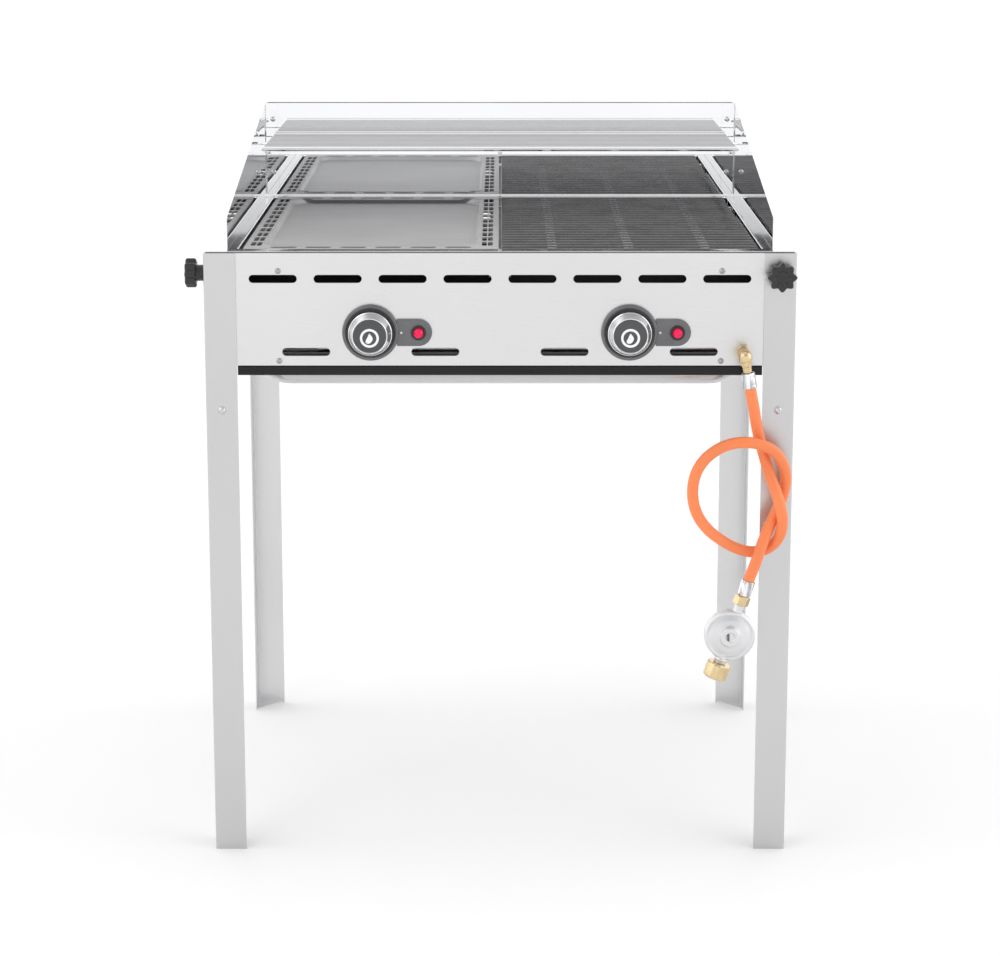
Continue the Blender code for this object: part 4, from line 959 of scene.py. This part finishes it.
def make_legs():
    for name, (side, end) in LEGS.items():
        x = side * HALF
        y = leg_face(end)
        folds = [(x - side * LEG_WIDTH, y), (x, y), (x, y - end * LEG_WIDTH)]
        mesh = folded(folds, -side * end * LEG_SHEET, on_plan(0.0), LEG_TOP, 0.0024)
        through = Vector((0, 0.01, 0))
        across = Vector((0.01, 0, 0))
        pivot = Vector((side * PIVOT_X, y, PIVOT_Z))
        tools = [tube([pivot - through, pivot + through], 0.0032, 32)]
        if name in FACE_KNOBS:
            stud = Vector((side * PIVOT_X, y, STAR_Z))
            inside = stud.x - side * 0.03
            tools.append(tube([stud - through, stud + through], 0.0042, 32))
            tools.append(block((min(inside, stud.x), y - 0.01, STAR_Z - 0.005),
                               (max(inside, stud.x), y + 0.01, STAR_Z + 0.0042)))
        else:
            stud = Vector((x, y - end * LEG_WIDTH / 2, STAR_Z))
            tools.append(tube([stud - across, stud + across], 0.0036, 32))
        inner = LEG_WIDTH - LEG_SHEET
        foot = [(x - side * LEG_SHEET * 0.6, y - end * LEG_SHEET * 0.6),
                (x - side * inner, y - end * LEG_SHEET * 0.6),
                (x - side * LEG_SHEET * 0.6, y - end * inner)]
        foot = plate(filleted(foot, 0.0015, 3), on_plan(0.0), 0.002, 0.0002)
        # The rear legs take the lighter copy of the legs' steel: painted light.
        finish = "stainless_z" if end < 0 else "stainless_rear_z_painted_light"
        piece(f"leg_{name}_angle", cut(mesh, tools), finish, name + "_leg", ["leg_" + name])
        # The foot plates take the lighter chrome: painted light.
        piece(f"leg_{name}_foot", foot, "chrome_painted_light", name + "_leg")


def make_pivot_screws():
    for name, (side, end) in LEGS.items():
        y = leg_face(end)
        out = Vector((0, end, 0))
        spot = Vector((side * PIVOT_X, y, PIVOT_Z)) + out * GAP
        pan_screw("pivot_screw_head_" + name, spot, out, "body", 0.005, 0.0026)
        inside = spot - out * 0.014
        shapes = [tube([spot, inside], 0.0026, 20, end=0.0004),
                  hexagon(0.0088, inside + out * 0.002, inside + out * 0.0062)]
        piece("pivot_bolt_" + name, joined(shapes, 25), "zinc", "body", ["pivot_screw_" + name])


def make_star_knobs():
    head = mm([(0, 22.2), (7.5, 22.2), (8.8, 23.2), (10.2, 24), (14.2, 24), (15.8, 23.4),
               (16.6, 21.8), (16.6, 12.8), (16, 11.2), (14.6, 10.3), (0, 10.3)])
    head = filleted(head, 0.0008, 3, False)
    hub = [(0.0, 0.0112), (0.0106, 0.0112), (0.0102, 0.009), (0.0102, 0.003), (0.0108, 0.0014),
           (0.0104, GAP), (0.0, GAP)]
    for name, (side, end) in LEGS.items():
        if name in FACE_KNOBS:
            place = Vector((side * PIVOT_X, leg_face(end), STAR_Z))
            out = Vector((0, end, 0))
        else:
            place = Vector((side * HALF, leg_face(end) - end * LEG_WIDTH / 2, STAR_Z))
            out = Vector((side, 0, 0))
        shapes = [turned(head, place, out, 128, 50, lambda angle: 1 + 0.114 * math.cos(8 * angle)),
                  turned(hub, place, out, 48, 50)]
        piece(f"star_knob_{name}_moulding", joined(shapes, 50), "black_plastic", name + "_star",
              ["star_knob_" + name])
        stud = tube([place - out * 0.013, place + out * 0.004], 0.0029, 20, end=0.0005)
        piece(f"star_stud_{name}", stud, "zinc", name + "_star")


# ---------------------------------------------------------------- plates

def make_griddle():
    """Cast plate with a sunk cooking surface, a raised bead and slots through its margins."""
    low, high = GRIDDLE_LOW, GRIDDLE_HIGH
    rings = [ring_in(low, high, 0.0, 0.01, low.z)]
    for inset, radius, rise in mm([
            (0, 10, -1.8), (0.4, 9.8, -0.8), (1.4, 9, -0.1), (2.2, 9, 0), (23.8, 30, 0),
            (24.4, 30, 0.6), (25.4, 30, 0.9), (26.4, 30, 0.6), (27.2, 30, -0.6), (28.6, 30, -4),
            (29.6, 30, -5.2), (31.5, 30, -5.6)]):
        rings.append(ring_in(low, high, inset, radius, PLATE_TOP + rise))
    shell = pressed(rings, 0.0028, True)
    slots = []
    bottom = on_plan(PLATE_TOP - 0.012)
    middle = (low + high) / 2
    for row in range(11):
        y = middle.y + (row - 5) * MARGIN_PITCH
        for x in (low.x + 0.0108, low.x + 0.0184, high.x - 0.0184, high.x - 0.0108):
            outline = [(x + v, y + u) for u, v in stadium((0, 0), MARGIN_SLOT, 0.0062, 6)]
            slots.append(prism(outline, bottom, 0.018))
    for column in range(6):
        x = middle.x + (column - 2.5) * MARGIN_PITCH
        for y in (low.y + 0.013, high.y - 0.013):
            slots.append(prism(stadium((x, y), MARGIN_SLOT, 0.011, 6), bottom, 0.018))
    piece("griddle_casting", cut(shell, [joined(slots)]), "iron", "griddle", ["griddle_plate"])


def make_grate():
    """Round rods let into three flat cross bars of brighter steel, welded to two side bars."""
    low, high = GRATE_LOW, GRATE_HIGH
    rod_z = high.z - GRATE_ROD
    first = low.y + 0.006
    last = high.y - 0.006
    shapes = []
    for x in (low.x, high.x - 0.006):
        shapes.append(block((x, low.y, low.z), (x + 0.006, high.y, rod_z - 0.0006), 0.0006))
    bars = []
    for share in (0.2, 0.5, 0.8):
        x = low.x + (high.x - low.x) * share
        top = rod_z + 0.0012
        bars.append(block((x - 0.006, first - 0.003, top - 0.005),
                          (x + 0.006, last + 0.003, top), 0.0005))
    piece("grate_cross_bars", joined(bars), "zinc", "grill_grate")
    for index in range(GRATE_RODS):
        y = first + (last - first) * index / (GRATE_RODS - 1)
        ends = [(low.x + 0.0006, y, rod_z), (high.x - 0.0006, y, rod_z)]
        shapes.append(tube(ends, GRATE_ROD, 14, end=0.0006))
    piece("grate_rods", joined(shapes), "grate_steel", "grill_grate", ["grate"])


# ---------------------------------------------------------------- gas train

def make_burners():
    for name, side in SIDES:
        x = side * CONTROL_X
        y0 = BODY_FRONT + 0.15
        y1 = BODY_FRONT + 0.5
        outline = rounded_rectangle((x - BURNER_HALF, y0), (x + BURNER_HALF, y1), 0.04, 10)
        loop = tube([(u, v, CONTROL_Z) for u, v in outline], BURNER_RADIUS, 24, cyclic=True)
        start = Vector((x, BODY_FRONT + 0.067, CONTROL_Z))
        length = y0 - start.y
        mixing = [(0.01, 0.0), (0.0135, 0.0), (0.0137, -0.001), (0.0135, -0.006),
                  (0.0122, -0.014), (0.0105, -0.022), (0.0105, -length), (0.008, -length),
                  (0.008, -0.022), (0.01, -0.006)]
        shapes = [loop, turned(mixing, start, (0, -1, 0), 36, 45)]
        piece("burner_tube_" + name, joined(shapes), "burner_steel_and_edge_shade", "body", ["burner_" + name])
        ports = []
        lines = [((end, y0 + 0.05), (end, y1 - 0.05), 22) for end in (x - BURNER_HALF, x + BURNER_HALF)]
        lines.append(((x - 0.045, y1), (x + 0.045, y1), 9))
        port = mm([(0, 0.15), (1.3, 0.15), (1.3, -0.6), (0, -0.6)])
        for begin, finish, count in lines:
            for index in range(count):
                flat = Vector(begin).lerp(Vector(finish), index / (count - 1))
                spot = Vector((*flat, CONTROL_Z + BURNER_RADIUS))
                ports.append(turned(port, spot, (0, 0, 1), 10))
        # The ports are black discs on the tubes: painted shade of the port holes.
        piece("burner_ports_" + name, joined(ports), "painted_shade_black", "body")


def make_elbow():
    """Brass elbow: hexagon on the panel, a domed bend, a small hexagon and a barrel down."""
    front = BODY_FRONT - GAP
    shapes = [
        tube([(ELBOW.x, BODY_FRONT + 0.0195, ELBOW.z), ELBOW], 0.006, 28),
        hexagon(0.016, (ELBOW.x, front, ELBOW.z), (ELBOW.x, front - 0.008, ELBOW.z)),
        turned(mm([(0, 1.7), (6.6, 1.7), (7.1, 0), (0, 0)]),
               (ELBOW.x, front - 0.0098, ELBOW.z), (0, -1, 0), 36),
    ]
    bend = mm([(0, 6.4), (3.2, 6), (5.8, 4.8), (7.6, 2.6), (8.4, 0), (8.4, -5.2), (7.8, -6.4),
               (6.2, -7), (6.2, -14), (5.6, -14.6), (5.4, -20.8), (0, -21.2)])
    shapes.append(turned(bend, ELBOW, -ELBOW_AIM, 48, 40))
    shapes.append(hexagon(0.0128, ELBOW + ELBOW_AIM * 0.0076, ELBOW + ELBOW_AIM * 0.0126, 0.0006))
    end = ELBOW + ELBOW_AIM * (TOP_FERRULE + FERRULE_LENGTH - HOSE_GRIP - GAP)
    shapes.append(tube([ELBOW, end], 0.0045, 24))
    piece("gas_elbow_brass", joined(shapes, 28), "brass", "body", ["gas_elbow"])


def make_inner_parts():
    kept = {
        "zinc": ["gas_manifold", "pilot_left", "pilot_right", "valve_stem_left",
                 "valve_stem_right", *("pivot_bracket_" + name for name in LEGS)],
        "brass": ["gas_valve_left", "gas_valve_right"],
        "burner_steel_and_edge_shade": ["burner_rail", "centre_support"],
        # The liner is near black: painted shade of the inside of the firebox.
        "painted_shade_black": ["firebox_liner"],
    }
    for finish, nodes in kept.items():
        for node in nodes:
            keep(node, finish)


# ---------------------------------------------------------------- controls

def flame(centre, size):
    """Plain flame outline: a drop that leans to one side at its tip."""
    points = []
    steps = 28
    for step in range(steps):
        angle = 2 * math.pi * step / steps
        width = math.sin(angle) * (0.5 - 0.5 * math.cos(angle)) ** 0.55
        height = -math.cos(angle)
        lean = 0.16 * math.sin(2.6 * (height + 1.0)) * (height + 1.0) / 2
        points.append((centre[0] + size * (0.52 * width + lean), centre[1] - size * 0.62 * height))
    return points


# Profiles of the piezo's collar and cap, and of the knob's face and skirt.
COLLAR = mm([(6.8, 6.1), (8.4, 6.1), (9.4, 5.6), (9.5, 4.6), (8, 4.5), (8, -33), (7.2, -34),
             (6.6, -34), (6.6, 5.4)])
CAP = mm([(0, 14.2), (1.4, 14.05), (3, 13.6), (4.4, 12.7), (5.5, 11.4), (6.1, 9.8), (6.3, 8),
          (6.3, -3.5), (0, -3.5)])
FACE = mm([(0, 32.2), (17.2, 32.2), (18, 32.8), (19, 33), (20, 32.6), (20.5, 31.6), (20.5, 11.2),
           (4.3, 11.2), (4.3, 29.5), (0, 29.5)])
SKIRT = mm([(20.8, 30.4), (21.8, 30.6), (22.6, 30), (24, 25), (26.2, 18.2), (26.6, 16.4), (26.4, 15),
            (27.4, 14.4), (27.7, 13), (27.7, 11.2), (27, 10.5), (20.8, 10.5)])


def make_controls():
    for name, side in SIDES:
        centre = Vector((side * CONTROL_X, BODY_FRONT, CONTROL_Z))
        out = Vector((0, -1, 0))
        dish = [(0.01, 0.003), (0.0255, 0.003), (0.0268, 0.0034), (0.0318, 0.006), (0.0338, 0.0062),
                (0.035, 0.0054), (0.0355, 0.0038), (0.0355, GAP), (0.01, GAP)]
        ring = turned(filleted(dish, 0.0006, 3), centre, out, 96, 40)
        arm = arc((centre.x + BEZEL_TIP - BEZEL_ARM, centre.z), BEZEL_ARM, -90, 90, 20)
        arm += [(centre.x + 0.033, centre.z + end) for end in (BEZEL_ARM, -BEZEL_ARM)]
        hole = circle((centre.x + BUTTON_STEP, centre.z), BUTTON_HOLE, 36)
        front = BODY_FRONT - BEZEL_THICK
        tongue = plate(arm, on_front(front), BEZEL_THICK - GAP, 0.0007, [hole])
        piece(f"bezel_{name}_moulding", joined([ring, tongue], 40), "grey_plastic", "body",
              ["bezel_" + name])
        dot = turned(mm([(0, 0.25), (1, 0.25), (1.3, 0), (0, -0.2)]),
                     (centre.x + 0.0385, front, centre.z), out, 20)
        piece("index_dot_" + name, dot, "mark_white", "body")

        button = centre + Vector((BUTTON_STEP, 0, 0))
        knob = name + "_knob"
        turnings = (
            (f"igniter_collar_{name}", COLLAR, button, 48, 40, "black_plastic", "body",
             "igniter_body_"),
            (f"button_cap_{name}", CAP, button, 48, 60, "red_plastic", name + "_button",
             "ignition_button_"),
            (f"knob_{name}_face", FACE, centre, 72, 40, "knob_grey", knob, "control_knob_"),
            (f"knob_{name}_skirt", SKIRT, centre, 96, 40, "chrome", knob, "knob_skirt_"),
        )
        for title, profile, place, sides, sharp, finish, rides_on, node in turnings:
            piece(title, turned(profile, place, out, sides, sharp), finish, rides_on, [node + name])
        make_mark(name, centre)


def make_mark(name, centre):
    """A flame in a broad ring, the usual sign of a gas tap."""
    front = BODY_FRONT - MARK_OUT
    low = (centre.x, centre.z - 0.002)
    shapes = [plate(circle(low, 0.0118, 48), on_front(front), 0.0004, 0.0001,
                    [circle(low, 0.0088, 48)])]
    shapes.append(plate(flame((low[0], low[1] - 0.0004), 0.0104), on_front(front), 0.0004, 0.0001))
    piece(f"knob_{name}_mark", joined(shapes), "mark_white", name + "_knob")


# ---------------------------------------------------------------- windshield and rack

def keyhole(place, y):
    """Cutter for a keyhole: a round head over a narrow neck."""
    head = circle((place[0], place[1] + 0.0085), 0.0046, 28)
    neck = stadium((0, 0), 0.0135, 0.0048, 6)
    neck = [(place[0] + v, place[1] + 0.0045 + u) for u, v in neck]
    return [prism(head, on_front(y), 0.01), prism(neck, on_front(y), 0.01)]


def make_windshield():
    base = DECK_TOP + GAP
    half = SHIELD_HALF - 0.0005
    outline = rounded_rectangle((-half, base), (half, SHIELD_TOP), 0.003, 4)
    holes = [circle((side * SHIELD_SCREW_X, z), 0.0021) for side in (-1, 1) for z in SHIELD_SCREW_Z]
    mesh = plate(outline, on_front(SHIELD_BACK), SHIELD_SHEET - SHIELD_SKIN, 0.00035, holes)
    piece("shield_back_sheet", mesh, "polished", "windshield", ["windshield_back"])
    mesh = plate(outline, on_front(SHIELD_BACK + SHIELD_SHEET - SHIELD_SKIN), SHIELD_SKIN, 0.00005,
                 holes)
    piece("shield_back_outside", mesh, "stainless_x", "windshield")
    # Painted shade: a thin strip of dark steel along the top edge, standing in for the dark line its
    # rounded edge shows.
    end = half - 0.004
    low = SHIELD_TOP - 0.0013
    shade_line = plate([(-end, low), (-end, SHIELD_TOP), (end, SHIELD_TOP), (end, low)],
                 on_front(SHIELD_BACK - 0.0001), SHIELD_SHEET + 0.0002, 0.00008)
    piece("shield_top_shade_line", shade_line, "burner_steel_and_edge_shade", "windshield")
    rear = SHIELD_BACK - GAP
    slope = (SHIELD_TOP - 0.0012 - SHIELD_NOSE) / (rear - SHIELD_FRONT)

    def sloped(y, share):
        """Height on a side sheet, from its lower edge to its sloping upper edge."""
        return base + share * (SHIELD_NOSE + slope * (y - SHIELD_FRONT) - base)

    for name, side in SIDES:
        x = side * (SHIELD_HALF - SHIELD_SKIN)
        folds = [(x, SHIELD_FRONT), (x, rear), (x - side * 0.019, rear)]

        mesh = folded(folds, side * (SHIELD_SHEET - SHIELD_SKIN),
                      lambda u, v, w: (u, v, sloped(v, w)), 1.0, 0.0022)
        tools = []
        for z in SHIELD_SCREW_Z:
            tools += keyhole((side * SHIELD_SCREW_X, z), rear - 0.006)
        shapes = [cut(mesh, tools)]
        for y in (RACK_REAR - RACK_DEPTH + 0.018, RACK_REAR - 0.045):
            ends = sorted((side * (SHIELD_HALF - 0.0008), side * (SHIELD_HALF - 0.026)))
            low, high = y - TAB_HALF, y + TAB_HALF
            outline = filleted([(ends[0], low), (ends[1], low), (ends[1], high), (ends[0], high)],
                               0.002, 4)
            shapes.append(plate(outline, on_plan(TAB_TOP - 0.0015), 0.0015, 0.0003))
        piece(f"shield_{name}_sheet", joined(shapes), "polished", "windshield", ["windshield_" + name])
        corners = ((SHIELD_FRONT, 0), (rear - 0.003, 0), (rear - 0.003, 1), (SHIELD_FRONT, 1))
        ends = [(y, sloped(y, share)) for y, share in corners]
        skin = plate(ends, on_side(x if side > 0 else x - SHIELD_SKIN), SHIELD_SKIN, 0.00005)
        piece(f"shield_{name}_outside", skin, "stainless_y", "windshield")
        for level, z in zip(("low", "high"), SHIELD_SCREW_Z):
            spot = Vector((side * SHIELD_SCREW_X, rear - SHIELD_SHEET, z))
            pan_screw(f"shield_screw_{name}_{level}", spot, (0, -1, 0), "windshield",
                      *SMALL_SCREW)
            back = spot + Vector((0, 2 * SHIELD_SHEET + GAP, 0))
            nut = joined([hexagon(0.007, back, back + Vector((0, 0.003, 0)), 0.0005),
                          tube([back, back + Vector((0, 0.0042, 0))], 0.0019, 16, end=0.0003)], 25)
            piece(f"shield_nut_{name}_{level}", nut, "zinc", "windshield")


def make_rack():
    """Warming rack: long wires on three cross rods."""
    rear = RACK_REAR
    front = rear - RACK_DEPTH
    under = TAB_TOP + GAP + RACK_CROSS
    shapes = []
    for x in (-0.32, 0.0, 0.32):
        shapes.append(tube([(x, front - 0.002, under), (x, rear + 0.002, under)], RACK_CROSS, 18,
                           end=0.0006))
    for index in range(1, RACK_WIRES - 1):
        y = front + RACK_DEPTH * index / (RACK_WIRES - 1)
        shapes.append(tube([(-RACK_HALF + 0.001, y, RACK_Z), (RACK_HALF - 0.001, y, RACK_Z)],
                           RACK_WIRE, 14, end=0.0005))
    piece("rack_wires", joined(shapes), "rack_chrome", "rack", ["warming_rack"])
    # The front and rear frame rods take a lighter copy of the wires' chrome: painted highlight.
    shapes = [tube([(-RACK_HALF, y, RACK_Z), (RACK_HALF, y, RACK_Z)], RACK_FRAME, 18, end=0.0007)
              for y in (front, rear)]
    piece("rack_frame_rods", joined(shapes), "chrome_painted_light", "rack")


# ---------------------------------------------------------------- studio

def make_studio():
    bm = bmesh.new()
    bmesh.ops.create_grid(bm, x_segments=2, y_segments=2, size=30.0)
    floor = shown("floor", plain_mesh(bm))
    made, _, shader = shader_of("floor_white", grey(FLOOR_TONE), 0.0)
    shader.inputs["Roughness"].default_value = 0.9
    shader.inputs["Specular IOR Level"].default_value = 0.0
    floor.data.materials.append(made)

    world = bpy.data.worlds.new("studio")
    world.use_nodes = True
    sky = world.node_tree
    axes = axes_of(sky, "Generated")
    overhead = tint_of(sky, axes["Z"], WHITE, (0.55, 0.55, 0.56), 0.45, 0.92)
    before = spread_of(sky, axes["Y"], 1.0, 0.0, -0.75, -0.1)
    above = spread_of(sky, axes["Z"], 0.0, 1.0, 0.02, 0.14)
    shaded = dimmed_by(sky, times(sky, before, above), (0.34, 0.34, 0.35))
    beyond = spread_of(sky, axes["Y"], 0.0, 1.0, 0.1, 0.7)
    dimmed = dimmed_by(sky, times(sky, beyond, above), grey(0.66))
    colour = blended(sky, blended(sky, overhead, shaded), dimmed)
    sky.links.new(colour, sky.nodes["Background"].inputs["Color"])
    sky.nodes["Background"].inputs["Strength"].default_value = WORLD_STRENGTH
    bpy.context.scene.world = world
    bpy.context.scene.view_settings.view_transform = "Standard"

    lamps = (("key", (-1.8, -2.6, 2.8), 1.6, 12.0), ("fill", (2.4, -2.0, 1.8), 1.6, 5.0))
    for name, place, size, power in lamps:
        data = bpy.data.lights.new(name, "AREA")
        data.shape = "SQUARE"
        data.size = size
        data.energy = power
        lamp = shown(name, data)
        lamp.location = place
        aimed = Vector((0, 0, 0.5)) - Vector(place)
        lamp.rotation_euler = aimed.to_track_quat("-Z", "Y").to_euler()


make_panels()
make_deck()
make_strip_and_runners()
make_tray()
make_legs()
make_pivot_screws()
make_star_knobs()
make_griddle()
make_grate()
make_burners()
make_elbow()
make_inner_parts()
make_controls()
make_windshield()
make_rack()
make_studio()
